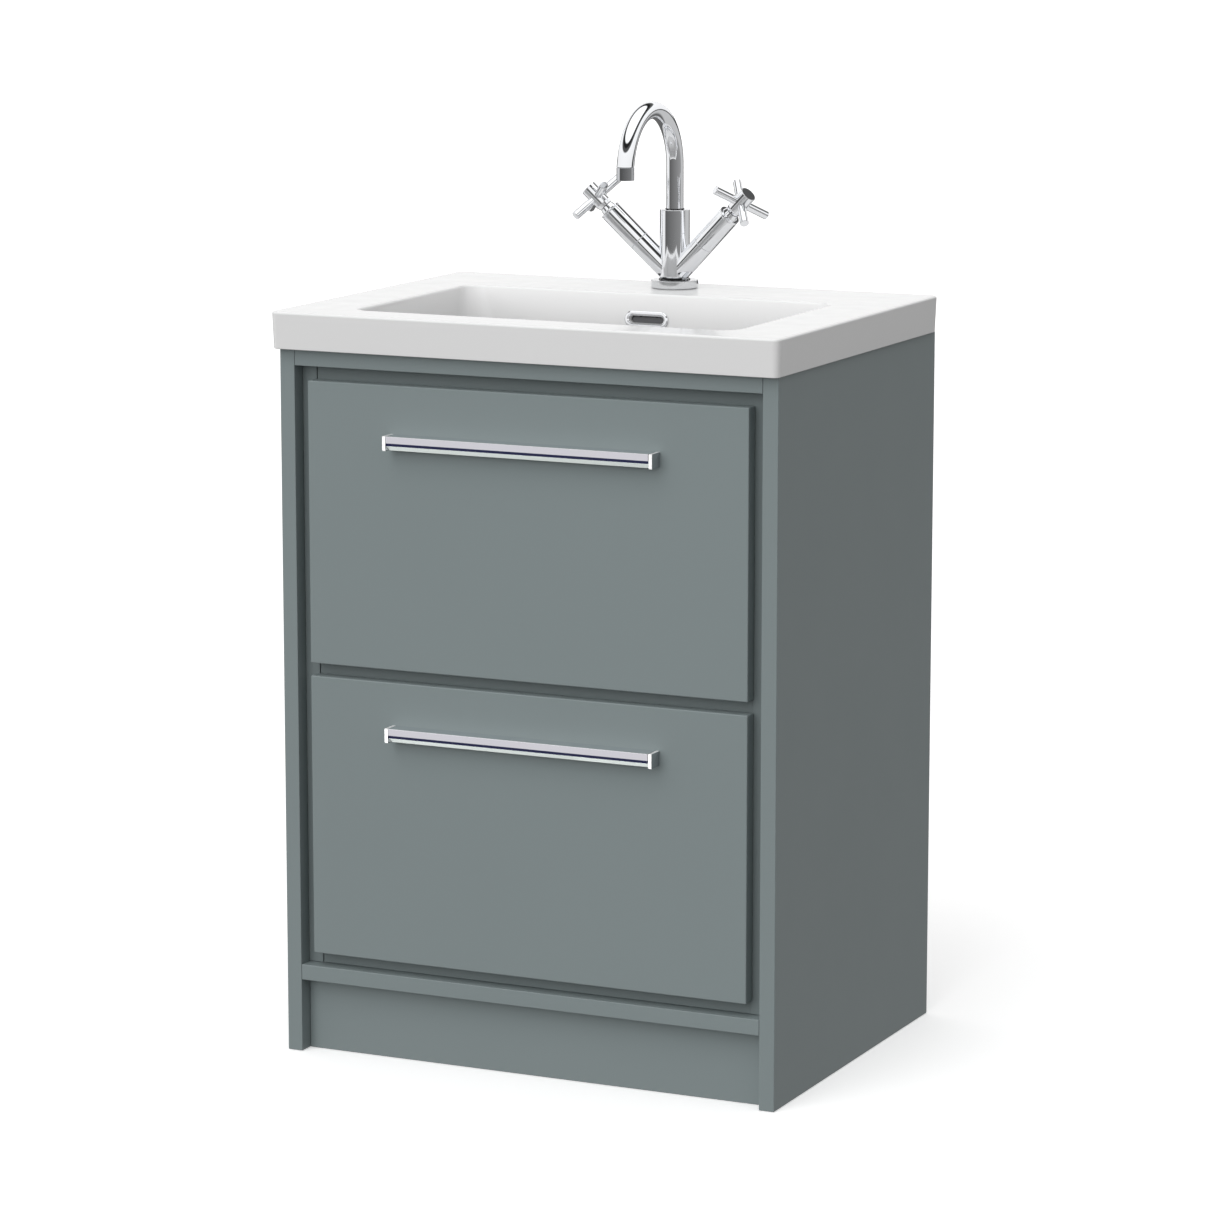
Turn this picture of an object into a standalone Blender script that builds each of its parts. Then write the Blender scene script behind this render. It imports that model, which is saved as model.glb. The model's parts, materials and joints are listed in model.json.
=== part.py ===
"""Bathroom vanity cabinet: a 600 mm two-drawer floor unit with a basin top and a crosshead basin mixer.

Metres, +Z up, +X to the user's right, +Y towards the wall. The origin is at floor level, in the middle
of the object's bounding box. The cabinet's front plane (the front edges of its side panels) is y = FRONT.
"""

from math import atan2, cos, pi, radians, sin

import bmesh
import bpy
from mathutils import Matrix, Vector

GAP = 0.0003  # clearance between pieces that touch

# Cabinet
WIDTH = 0.600
DEPTH = 0.455
HEIGHT = 0.802  # floor to the top edges of the side panels
BOARD = 0.018
PLINTH_HEIGHT = 0.083
PLINTH_RECESS = 0.019
HANDLE_PROJECTION = 0.0200  # front of the handles to the front plane
FRONT = -(DEPTH - HANDLE_PROJECTION) / 2
BACK = FRONT + DEPTH
INNER = WIDTH / 2 - BOARD  # half width between the side panels
OPENING = INNER - BOARD  # half width between the carcass sides
CARCASS_FRONT = FRONT + 0.0185
RAIL_FRONT = FRONT + 0.0200
RAIL_THICKNESS = 0.012
BACK_RAIL_HEIGHT = 0.100
BACK_PANEL_TOP = 0.430
EDGE_ROUND = 0.0008

# Drawers
FRONT_HALF_WIDTH = 0.266
FRONT_SET_BACK = 0.0007
FRONT_THICKNESS = 0.0174
UPPER_FRONT = (0.4498, 0.7678)  # bottom and top of the upper drawer front
LOWER_FRONT = (0.1164, 0.4354)
UPPER_BOX = (0.470, 0.640)  # bottom and top of the upper drawer box
LOWER_BOX = (0.133, 0.333)
BOX_HALF_WIDTH = 0.2507
BOX_BOARD = 0.015
BOX_FRONT = FRONT + 0.0190
BOX_LENGTH = 0.400
BASE_THICKNESS = 0.008
BASE_RISE = 0.012  # underside of a drawer's base above its sides' lower edges
RECESS_HALF_WIDTH = 0.090  # the upper drawer's cut-out around the trap
RECESS_FRONT = FRONT + 0.145
RECESS_BOARD = 0.012

# Handles: a pull with a flat front, a sloping lower lip and closed ends
HANDLE_LENGTH = 0.3255
HANDLE_DEPTH = 0.0207
HANDLE_HEIGHT = 0.0166
HANDLE_FLAT = 0.0077
HANDLE_LIP = 0.0110  # the lip's lower edge in front of the drawer
HANDLE_WALL = 0.0022
HANDLE_END = 0.0070
UPPER_HANDLE_TOP = 0.7144
LOWER_HANDLE_TOP = 0.3878

# Drawer runners: three nested steel channels a side
RUNNER_LENGTH = 0.400
UPPER_RUNNER_Z = 0.545
LOWER_RUNNER_Z = 0.215

# Basin
RIM = (0.8023, 0.844)  # underside and top of the basin's rim
BASIN_FRONT = FRONT - 0.0137
BASIN_BACK = BACK - 0.0030
BASIN_HALF_WIDTH = 0.306
BASIN_CORNER = 0.009
BASIN_EDGE = 0.0035
BASIN_DRAFT = 0.0016  # the rim leans in by this much at its underside
SKIRT = 0.024
DECK = 0.016
BOWL_HALF_WIDTH = 0.230
BOWL_FRONT = FRONT + 0.040
BOWL_BACK = FRONT + 0.324
BOWL_CORNER = 0.030
BOWL_EDGE = 0.005
BOWL_WALL = 0.010
BOWL_FLOOR_Z = 0.724
BOWL_UNDERSIDE_Z = 0.712
CORNER_STEPS = 6
WASTE_Y = FRONT + 0.200
WASTE_HOLE = 0.0225
OVERFLOW_Z = 0.8146

# Tap
DECK_Z = RIM[1]
TAP_Y = FRONT + 0.397
TAP_HOLE = 0.0175
TAP_BASE_RADIUS = 0.0272
TAP_BASE_HEIGHT = 0.0095
SLEEVE_RADIUS = 0.0173
SLEEVE_TOP = 0.0905
ARM_START = 0.0125  # height on the tap's axis where the arms' axes meet
ARM_RADIUS = 0.0127
ARM_SEAM = 0.058
ARM_END = 0.108
ARM_SPREAD = radians(44.5)  # from the plane of symmetry
ARM_LEAN = radians(11)  # of the arms' plane, towards the user
HUB = (0.1142, 0.144)
HUB_RADIUS = 0.0095
SPOKE_AT = 0.129
SPOKE_RADIUS = 0.0049
SPOKE_LENGTH = 0.037
SPOUT_RADIUS = 0.0100
SPOUT_BORE = 0.0075
SPOUT_BEND = 0.0675
SPOUT_SPRING = 0.141  # height of the bend's centre above the basin
AERATOR = (0.134, 0.149)


def material(name, colour, roughness, metallic=0.0):
    made = bpy.data.materials.new(name)
    made.use_nodes = True
    shader = made.node_tree.nodes["Principled BSDF"]
    shader.inputs["Base Color"].default_value = (*colour, 1.0)
    shader.inputs["Roughness"].default_value = roughness
    shader.inputs["Metallic"].default_value = metallic
    return made


def add_object(name, mesh_edit, finish, at=(0, 0, 0), turn=None):
    """Turns a bmesh into a named object at a place, with its faces pointing out."""
    bmesh.ops.recalc_face_normals(mesh_edit, faces=mesh_edit.faces)
    mesh = bpy.data.meshes.new(name)
    mesh_edit.to_mesh(mesh)
    mesh_edit.free()
    mesh.shade_smooth()
    mesh.set_sharp_from_angle(angle=radians(35))
    mesh.materials.append(finish)
    made = bpy.data.objects.new(name, mesh)
    bpy.context.scene.collection.objects.link(made)
    made.location = at
    if turn is not None:
        made.rotation_euler = turn.to_euler()
    return made


def board(name, low, high, finish, rounded=0.0):
    """A rectangular board between two corners, with rounded edges where it shows."""
    low, high = Vector(low), Vector(high)
    size = high - low
    edit = bmesh.new()
    bmesh.ops.create_cube(edit, size=1.0, matrix=Matrix.Diagonal((*size, 1.0)))
    made = add_object(name, edit, finish, (low + high) / 2)
    if rounded:
        round_edges(made, rounded)
    return made


def round_edges(made, width, segments=2):
    bevel = made.modifiers.new("Rounded edges", "BEVEL")
    bevel.width = width
    bevel.segments = segments
    bevel.limit_method = "ANGLE"
    bevel.angle_limit = radians(35)


def skin(rings, looped):
    """A closed surface through rings of points: looped joins the last ring to the first, else both are capped."""
    edit = bmesh.new()
    rows = [[edit.verts.new(point) for point in ring] for ring in rings]
    count = len(rows[0])
    following = rows[1:] + rows[:1] if looped else rows[1:]
    for row, after in zip(rows, following):
        for i in range(count):
            j = (i + 1) % count
            edit.faces.new((row[i], row[j], after[j], after[i]))
    if not looped:
        edit.faces.new(rows[0])
        edit.faces.new(rows[-1])
    return edit


def circle(radius, height, segments):
    angles = [2 * pi * i / segments for i in range(segments)]
    return [Vector((radius * cos(a), radius * sin(a), height)) for a in angles]


def turned(name, profile, finish, at, turn=None, looped=False, segments=32):
    """A solid of revolution about its own Z from (radius, height) points, a ring if looped."""
    rings = [circle(radius, height, segments) for radius, height in profile]
    return add_object(name, skin(rings, looped), finish, at, turn)


def prism(name, outline, low, high, finish, axis="X", at=(0, 0, 0), turn=None):
    """An outline extruded along an axis: its points are (y, z) along X, (x, z) along Y, (x, y) along Z."""

    def point(a, b, along):
        return {"X": (along, a, b), "Y": (a, along, b), "Z": (a, b, along)}[axis]

    rings = [[Vector(point(a, b, along)) for a, b in outline] for along in (low, high)]
    return add_object(name, skin(rings, looped=False), finish, at, turn)


def stadium(length, height, steps=6):
    """The outline of a slot with round ends, end to end length by height."""
    radius = height / 2
    ends = [(length / 2 - radius, -pi / 2), (radius - length / 2, pi / 2)]
    return [
        (centre + radius * cos(start + pi * i / steps), radius * sin(start + pi * i / steps))
        for centre, start in ends
        for i in range(steps + 1)
    ]


def combine(made, other, operation):
    """Cuts a hidden guide out of an object, or joins it on."""
    other.hide_render = True
    other.display_type = "WIRE"
    modifier = made.modifiers.new(other.name, "BOOLEAN")
    modifier.operation = operation
    modifier.object = other


def side_name(side):
    return "right" if side > 0 else "left"


def mirrored(low_x, high_x, side):
    """A span of X on the right, carried to the given side, low end first."""
    return (low_x, high_x) if side > 0 else (-high_x, -low_x)


def carcass(paint, edging):
    for side in (-1, 1):
        name = side_name(side)
        x_low, x_high = mirrored(INNER, WIDTH / 2, side)
        board(f"side_panel_{name}", (x_low, FRONT, 0), (x_high, BACK, HEIGHT), paint, EDGE_ROUND)
        x_low, x_high = mirrored(OPENING, INNER - GAP, side)
        low = (x_low, CARCASS_FRONT, PLINTH_HEIGHT + BOARD + GAP)
        high = (x_high, BACK - BOARD - GAP, HEIGHT - GAP)
        board(f"carcass_side_{name}", low, high, edging)

    half = INNER - GAP
    floor_low = (-half, FRONT, PLINTH_HEIGHT + GAP)
    floor_high = (half, BACK - BOARD - GAP, PLINTH_HEIGHT + BOARD)
    board("carcass_floor", floor_low, floor_high, paint, EDGE_ROUND)
    plinth_front = FRONT + PLINTH_RECESS
    board("plinth", (-half, plinth_front, 0), (half, plinth_front + BOARD, PLINTH_HEIGHT), paint, EDGE_ROUND)
    rail_low = (-half, FRONT, HEIGHT - GAP - BOARD)
    rail_high = (half, FRONT + FRONT_THICKNESS + FRONT_SET_BACK, HEIGHT - GAP)
    board("top_rail", rail_low, rail_high, paint, EDGE_ROUND)

    half = OPENING - GAP
    spans = {
        "upper_cross_rail": (0.745, HEIGHT - GAP),
        "middle_cross_rail": (0.424, 0.462),
        "lower_cross_rail": (PLINTH_HEIGHT + BOARD + GAP, 0.128),
    }
    for name, (bottom, top) in spans.items():
        board(name, (-half, RAIL_FRONT, bottom), (half, RAIL_FRONT + RAIL_THICKNESS, top), edging)

    half = INNER - GAP
    wall_side = BACK - BOARD
    board("back_panel", (-half, wall_side, PLINTH_HEIGHT), (half, BACK, BACK_PANEL_TOP), edging)
    rail_bottom = HEIGHT - GAP - BACK_RAIL_HEIGHT
    board("back_rail", (-half, wall_side, rail_bottom), (half, BACK, HEIGHT - GAP), edging)


def rounded_rectangle(half_width, front, back, corner, z, middle_x=0.0):
    """A level ring of points with quarter-round corners, counter-clockwise from the right front corner."""
    corner = min(corner, half_width, (back - front) / 2)
    centres = [
        (half_width - corner, front + corner, -pi / 2),
        (half_width - corner, back - corner, 0.0),
        (corner - half_width, back - corner, pi / 2),
        (corner - half_width, front + corner, pi),
    ]
    ring = []
    for x, y, start in centres:
        for i in range(CORNER_STEPS + 1):
            angle = start + pi / 2 * i / CORNER_STEPS
            ring.append(Vector((middle_x + x + corner * cos(angle), y + corner * sin(angle), z)))
    return ring


def inset_ring(half_width, front, back, corner, inset, z):
    return rounded_rectangle(half_width - inset, front + inset, back - inset, max(corner - inset, 0.001), z)


def bowl_section(depth_fraction):
    """Half width, front, back and corner radius of the bowl's inner wall, 0 at the rim to 1 at its foot."""
    taper = 0.012 * depth_fraction
    corner = BOWL_CORNER + 0.020 * depth_fraction
    return BOWL_HALF_WIDTH - taper, BOWL_FRONT + taper, BOWL_BACK - taper, corner


def basin_rings():
    """The basin's section as rings: up the outside, over the rim, down the bowl, out of the waste, back under."""
    bottom, top = RIM
    outside = (BASIN_HALF_WIDTH, BASIN_FRONT, BASIN_BACK, BASIN_CORNER)
    edge = BASIN_EDGE
    rings = [inset_ring(*outside, BASIN_DRAFT, bottom)]
    for angle in (0.0, pi / 4, pi / 2):
        inset = 0.0006 + edge * (1 - cos(angle))
        rings.append(inset_ring(*outside, inset, top - edge + edge * sin(angle)))

    rim = bowl_section(0.0)
    for angle in (pi / 2, pi / 4, 0.0):
        outset = -BOWL_EDGE * (1 - cos(angle))
        rings.append(inset_ring(*rim, outset, top - BOWL_EDGE + BOWL_EDGE * sin(angle)))
    foot_z, foot_radius = 0.748, 0.022
    foot = bowl_section(1.0)
    for angle in (0.0, pi / 6, pi / 3, pi / 2):
        inset = foot_radius * (1 - cos(angle))
        rings.append(inset_ring(*foot, inset, foot_z - foot_radius * sin(angle)))
    waste = (WASTE_Y - WASTE_HOLE, WASTE_Y + WASTE_HOLE)
    seat = 0.034
    rings.append(rounded_rectangle(seat, WASTE_Y - seat, WASTE_Y + seat, seat, BOWL_FLOOR_Z))
    rings.append(rounded_rectangle(WASTE_HOLE, *waste, WASTE_HOLE, BOWL_FLOOR_Z))
    rings.append(rounded_rectangle(WASTE_HOLE, *waste, WASTE_HOLE, BOWL_UNDERSIDE_Z))

    rings.append(inset_ring(*foot, 0.012, BOWL_UNDERSIDE_Z))
    rings.append(inset_ring(*foot, -BOWL_WALL, foot_z - 0.012))
    rings.append(inset_ring(*rim, -BOWL_WALL, top - DECK))
    rings.append(inset_ring(*outside, SKIRT, top - DECK))
    rings.append(inset_ring(*outside, SKIRT, bottom))
    return rings


def basin(ceramic, chrome):
    made = add_object("basin", skin(basin_rings(), looped=True), ceramic)
    hole = turned("tap_hole", [(TAP_HOLE, -0.03), (TAP_HOLE, 0.01)], ceramic, (0, TAP_Y, DECK_Z))
    combine(made, hole, "DIFFERENCE")
    wall_y = BOWL_BACK - 0.012 * (DECK_Z - OVERFLOW_Z) / (DECK_Z - 0.748)
    slot = prism("overflow_slot", stadium(0.042, 0.008), -0.010, 0.020, ceramic, "Y", (0, wall_y, OVERFLOW_Z))
    combine(made, slot, "DIFFERENCE")

    lean = Matrix.Rotation(-atan2(0.012, DECK_Z - 0.748), 3, "X")
    ring_at = Vector((0, wall_y, OVERFLOW_Z)) - lean @ Vector((0, 0.0006, 0))
    ring = prism("overflow_ring", stadium(0.054, 0.019), -0.0022, 0, chrome, "Y", ring_at, lean)
    opening = prism("overflow_opening", stadium(0.043, 0.009), -0.01, 0.01, chrome, "Y", ring_at, lean)
    combine(ring, opening, "DIFFERENCE")


def waste(chrome, plastic):
    """Waste fitting, tail, bottle trap and outlet pipe, from the bowl's floor to the wall."""

    def ring(name, inner, outer, low, high, finish, segments=24):
        profile = [(inner, low), (outer, low), (outer, high), (inner, high)]
        turned(name, profile, finish, (0, WASTE_Y, 0), looped=True, segments=segments)

    seat = BOWL_FLOOR_Z + GAP
    bore, barrel = 0.0180, 0.0220
    flange = [
        (bore, 0.6905), (barrel, 0.6905), (barrel, seat), (0.0310, seat),
        (0.0315, seat + 0.0012), (0.0290, seat + 0.0025), (bore, seat + 0.0025),
    ]
    turned("waste_flange", flange, chrome, (0, WASTE_Y, 0), looped=True)
    cap = seat + 0.0105
    plug = [
        (0.0045, 0.6950), (0.0045, cap), (0.0285, cap), (0.0290, cap + 0.0012),
        (0.0270, cap + 0.0030), (0.0140, cap + 0.0045),
    ]
    turned("waste_plug", plug, chrome, (0, WASTE_Y, 0))
    ring("waste_nut", barrel + GAP, 0.0320, 0.7000, BOWL_UNDERSIDE_Z - GAP, plastic)
    tail_radius, tail_bore = 0.0160, 0.0135
    tail = [(tail_bore, 0.622), (tail_radius, 0.622), (tail_radius, 0.678), (barrel, 0.682), (barrel, 0.6902),
            (tail_bore, 0.6902)]
    turned("waste_tail", tail, chrome, (0, WASTE_Y, 0), looped=True)
    ring("trap_nut", 0.0198, 0.0265, 0.6080, 0.6340, plastic)

    outlet_z = 0.585
    bottle = [
        (0.0270, 0.5460), (0.0300, 0.5460), (0.0300, 0.5980), (0.0195, 0.6060), (0.0195, 0.6200),
        (0.0160, 0.6200), (0.0160, 0.6050), (0.0270, 0.5960),
    ]
    trap = turned("trap_bottle", bottle, plastic, (0, WASTE_Y, 0), looped=True)
    along_y = Matrix.Rotation(-pi / 2, 3, "X")
    spigot_at = (0, WASTE_Y, outlet_z)
    spigot = turned("trap_spigot", [(0.0105, 0.0275), (0.0105, 0.0600)], plastic, spigot_at, along_y, segments=24)
    combine(trap, spigot, "UNION")
    bore_guide = turned("trap_spigot_bore", [(0.0080, 0.0200), (0.0080, 0.0700)], plastic, spigot_at, along_y,
                        segments=24)
    combine(trap, bore_guide, "DIFFERENCE")
    cup = [(0.0200, 0.5050), (0.0320, 0.5080), (0.0320, 0.5457), (0.0265, 0.5457), (0.0265, 0.5110), (0.0080, 0.5090)]
    turned("trap_cup", cup, plastic, (0, WASTE_Y, 0))

    nut = [(0.0108, 0.0480), (0.0180, 0.0480), (0.0180, 0.0720), (0.0165, 0.0740), (0.0108, 0.0740)]
    turned("outlet_nut", nut, plastic, spigot_at, along_y, looped=True, segments=24)
    length = BACK - WASTE_Y
    pipe = [(0.0080, 0.0603), (0.0105, 0.0603), (0.0105, length), (0.0080, length)]
    turned("waste_pipe", pipe, plastic, spigot_at, along_y, looped=True, segments=24)


def arm_turn(side):
    """The turn that takes +Z to an arm's direction, keeping its own X in the upright plane through the arm."""
    outward = Vector((side * sin(ARM_SPREAD), 0, cos(ARM_SPREAD)))
    outward = Matrix.Rotation(ARM_LEAN, 3, "X") @ outward
    across = Vector((0, 1, 0)).cross(outward).normalized()
    return Matrix((across, outward.cross(across), outward)).transposed()


def tap(chrome):
    seat = Vector((0, TAP_Y, DECK_Z))
    base = [
        (0.0150, GAP), (TAP_BASE_RADIUS, GAP), (TAP_BASE_RADIUS, TAP_BASE_HEIGHT - 0.001),
        (TAP_BASE_RADIUS - 0.001, TAP_BASE_HEIGHT), (0.0150, TAP_BASE_HEIGHT),
    ]
    turned("tap_base", base, chrome, seat, looped=True)

    sleeve = [
        (0.0145, -0.0420), (0.0145, TAP_BASE_HEIGHT + GAP), (SLEEVE_RADIUS, TAP_BASE_HEIGHT + 0.004),
        (SLEEVE_RADIUS, SLEEVE_TOP - 0.001), (SLEEVE_RADIUS - 0.001, SLEEVE_TOP),
    ]
    body = turned("tap_body", sleeve, chrome, seat)
    knot = seat + Vector((0, 0, ARM_START))
    for side in (-1, 1):
        name, turn = side_name(side), arm_turn(side)
        arm = turned(f"arm_guide_{name}", [(ARM_RADIUS, 0.001), (ARM_RADIUS, ARM_SEAM)], chrome, knot, turn)
        combine(body, arm, "UNION")
        start = ARM_SEAM + GAP
        bonnet = [
            (ARM_RADIUS, start), (ARM_RADIUS, ARM_END - 0.001), (ARM_RADIUS - 0.001, ARM_END),
            (0.0098, ARM_END), (0.0070, ARM_END + 0.0052),
        ]
        turned(f"tap_bonnet_{name}", bonnet, chrome, knot, turn)
        hub_low, hub_high = HUB
        hub = [(HUB_RADIUS - 0.0015, hub_low), (HUB_RADIUS, hub_low + 0.004), (HUB_RADIUS, hub_high - 0.0006),
               (HUB_RADIUS - 0.0006, hub_high)]
        handle = turned(f"tap_handle_{name}", hub, chrome, knot, turn, segments=24)
        for number, angle in enumerate((pi / 4, 3 * pi / 4)):
            spoke_turn = turn @ Matrix.Rotation(angle, 3, "Z") @ Matrix.Rotation(pi / 2, 3, "Y")
            tip = SPOKE_LENGTH
            spoke = [(SPOKE_RADIUS - 0.0006, -tip), (SPOKE_RADIUS, 0.0006 - tip), (SPOKE_RADIUS, tip - 0.0006),
                     (SPOKE_RADIUS - 0.0006, tip)]
            spoke_at = knot + turn @ Vector((0, 0, SPOKE_AT))
            guide = turned(f"spoke_guide_{name}_{number}", spoke, chrome, spoke_at, spoke_turn, segments=16)
            combine(handle, guide, "UNION")

    around = [(0.0135, GAP), (0.0300, GAP), (0.0300, TAP_BASE_HEIGHT + GAP), (0.0135, TAP_BASE_HEIGHT + GAP)]
    combine(body, turned("tap_base_clearance", around, chrome, seat, looped=True), "DIFFERENCE")

    spout(chrome, seat)
    top = -DECK - GAP
    nut = [(0.0150, top - 0.009), (0.0260, top - 0.009), (0.0260, top), (0.0150, top)]
    turned("tap_back_nut", nut, chrome, seat, looped=True)


def spout(chrome, seat):
    """The swan-neck tube, its origin on the upright axis that it swivels about, and the aerator in its end."""
    centres = [(Vector((0, 0, SLEEVE_TOP + GAP)), 0.0), (Vector((0, 0, SPOUT_SPRING)), 0.0)]
    bend_steps = 20
    for i in range(1, bend_steps + 1):
        angle = pi * i / bend_steps
        height = SPOUT_SPRING + SPOUT_BEND * sin(angle)
        if i == bend_steps or height < AERATOR[1] + 0.002 and angle > pi / 2:
            break
        centres.append((Vector((0, SPOUT_BEND * (cos(angle) - 1), height)), angle))
    reach = -2 * SPOUT_BEND
    centres.append((Vector((0, reach, AERATOR[1] + GAP)), pi))

    def section(radius, centre, angle):
        flat = circle(radius, 0.0, 20)
        turn = Matrix.Rotation(angle, 3, "X")
        return [centre + turn @ point for point in flat]

    outside = [section(SPOUT_RADIUS, *step) for step in centres]
    bore = [section(SPOUT_BORE, *step) for step in reversed(centres)]
    add_object("spout", skin(outside + bore, looped=True), chrome, seat)
    low, high = AERATOR
    profile = [(0.0060, low), (SPOUT_RADIUS - 0.0006, low), (SPOUT_RADIUS, low + 0.0006), (SPOUT_RADIUS, high),
               (0.0070, high), (0.0070, low + 0.004), (0.0060, low + 0.004)]
    turned("aerator", profile, chrome, seat + Vector((0, reach, 0)), looped=True, segments=24)


def handle(name, top, chrome):
    """A pull on a drawer front: flat above, a lip sloping back below, hollow behind, solid at both ends."""
    face = FRONT + FRONT_SET_BACK - GAP
    outline = [(0, 0), (-HANDLE_DEPTH + GAP, 0), (-HANDLE_DEPTH + GAP, -HANDLE_FLAT),
               (-HANDLE_LIP, -HANDLE_HEIGHT), (0, -HANDLE_HEIGHT)]
    half = HANDLE_LENGTH / 2
    made = prism(name, outline, -half, half, chrome, "X", (0, face, top))
    wall = HANDLE_WALL
    hollow = [(0.002, -wall), (wall - HANDLE_DEPTH, -wall), (wall - HANDLE_DEPTH, -HANDLE_FLAT + 0.0005),
              (1.3 * wall - HANDLE_LIP, -HANDLE_HEIGHT - 0.0008), (0.002, -HANDLE_HEIGHT - 0.0008)]
    inside = half - HANDLE_END
    cavity = prism(f"{name}_cavity", hollow, -inside, inside, chrome, "X", (0, face, top))
    combine(made, cavity, "DIFFERENCE")
    round_edges(made, 0.0006)


def channel(outer_x, mouth_x, half_height, thickness, lip):
    """A C-shaped steel channel's outline in (x, z): web at outer_x, opening towards mouth_x."""
    inward = 1 if mouth_x > outer_x else -1
    web, mouth = outer_x + inward * thickness, mouth_x - inward * thickness
    upper = [(outer_x, half_height), (mouth_x, half_height), (mouth_x, half_height - lip)]
    if lip > thickness:
        upper += [(mouth, half_height - lip), (mouth, half_height - thickness)]
    upper += [(web, half_height - thickness)]
    return upper + [(x, -z) for x, z in reversed(upper)]


def runners(drawer, z, steel):
    """The channels on both sides of a drawer: fixed to the carcass, floating between, and on the drawer box."""
    profiles = {
        "rail": channel(OPENING - GAP, 0.2551, 0.0230, 0.0012, 0.004),
        "slider": channel(0.2610, 0.2537, 0.0175, 0.0012, 0.0035),
        "member": channel(BOX_HALF_WIDTH + GAP, 0.2585, 0.0120, 0.0012, 0.0012),
    }
    for side in (-1, 1):
        for part_name, outline in profiles.items():
            name = f"{drawer}_{part_name}_{side_name(side)}"
            placed = [(side * x, height) for x, height in outline]
            prism(name, placed, 0, RUNNER_LENGTH, steel, "Y", (0, RAIL_FRONT, z))


def drawer_box(drawer, box, recessed, melamine):
    """Two sides, a front, a base and a back; a recessed box splits its back around a cut-out for the trap."""
    bottom, top = box
    back = BOX_FRONT + BOX_LENGTH
    inner = BOX_HALF_WIDTH - BOX_BOARD - GAP
    for side in (-1, 1):
        x_low, x_high = mirrored(inner + GAP, BOX_HALF_WIDTH, side)
        board(f"{drawer}_box_side_{side_name(side)}", (x_low, BOX_FRONT, bottom), (x_high, back, top), melamine)
    board(f"{drawer}_box_front", (-inner, BOX_FRONT, bottom), (inner, BOX_FRONT + BOX_BOARD, top), melamine)

    base_front, base_back = BOX_FRONT + BOX_BOARD + GAP, back - BOX_BOARD - GAP
    base = [(-inner, base_front), (inner, base_front), (inner, base_back), (-inner, base_back)]
    if recessed:
        half = RECESS_HALF_WIDTH + RECESS_BOARD
        lining_front = RECESS_FRONT - RECESS_BOARD
        base[3:3] = [(half + GAP, base_back), (half + GAP, lining_front - GAP),
                     (-half - GAP, lining_front - GAP), (-half - GAP, base_back)]
        lining = [(-half, back), (-half, lining_front), (half, lining_front), (half, back),
                  (RECESS_HALF_WIDTH, back), (RECESS_HALF_WIDTH, RECESS_FRONT),
                  (-RECESS_HALF_WIDTH, RECESS_FRONT), (-RECESS_HALF_WIDTH, back)]
        prism(f"{drawer}_box_recess", lining, bottom, top, melamine, "Z")
        for side in (-1, 1):
            x_low, x_high = mirrored(half + GAP, inner, side)
            name = f"{drawer}_box_back_{side_name(side)}"
            board(name, (x_low, back - BOX_BOARD, bottom), (x_high, back, top), melamine)
    else:
        board(f"{drawer}_box_back", (-inner, back - BOX_BOARD, bottom), (inner, back, top), melamine)
    underside = bottom + BASE_RISE
    prism(f"{drawer}_box_base", base, underside, underside + BASE_THICKNESS, melamine, "Z")


def drawers(paint, melamine, chrome, steel):
    parts = {
        "upper": (UPPER_FRONT, UPPER_BOX, True, UPPER_HANDLE_TOP, UPPER_RUNNER_Z),
        "lower": (LOWER_FRONT, LOWER_BOX, False, LOWER_HANDLE_TOP, LOWER_RUNNER_Z),
    }
    face = FRONT + FRONT_SET_BACK
    for drawer, (span, box, recessed, handle_top, runner_z) in parts.items():
        bottom, top = span
        low = (-FRONT_HALF_WIDTH, face, bottom)
        high = (FRONT_HALF_WIDTH, face + FRONT_THICKNESS, top)
        board(f"{drawer}_drawer_front", low, high, paint, 0.0012)
        handle(f"{drawer}_handle", handle_top, chrome)
        drawer_box(drawer, box, recessed, melamine)
        runners(drawer, runner_z, steel)


def main():
    for old in list(bpy.data.objects):
        bpy.data.objects.remove(old, do_unlink=True)
    paint = material("Painted board", (0.21, 0.24, 0.24), 0.45)
    edging = material("Painted carcass board", (0.20, 0.23, 0.23), 0.5)
    melamine = material("Drawer box board", (0.62, 0.62, 0.60), 0.5)
    ceramic = material("Basin white", (0.86, 0.86, 0.86), 0.12)
    chrome = material("Chrome", (0.80, 0.80, 0.82), 0.06, 1.0)
    steel = material("Zinc-plated steel", (0.62, 0.63, 0.65), 0.35, 1.0)
    plastic = material("White plastic", (0.80, 0.80, 0.78), 0.4)
    carcass(paint, edging)
    basin(ceramic, chrome)
    waste(chrome, plastic)
    tap(chrome)
    drawers(paint, melamine, chrome, steel)


main()
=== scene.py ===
"""Looks for the bathroom vanity cabinet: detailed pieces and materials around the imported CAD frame.

Metres, in the frame's own axes: +X to the user's right, +Y towards the wall, +Z up, floor at zero.
"""

import json
from math import atan2, cos, pi, radians, sin, tan

import bmesh
import bpy
from mathutils import Matrix, Vector

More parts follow.
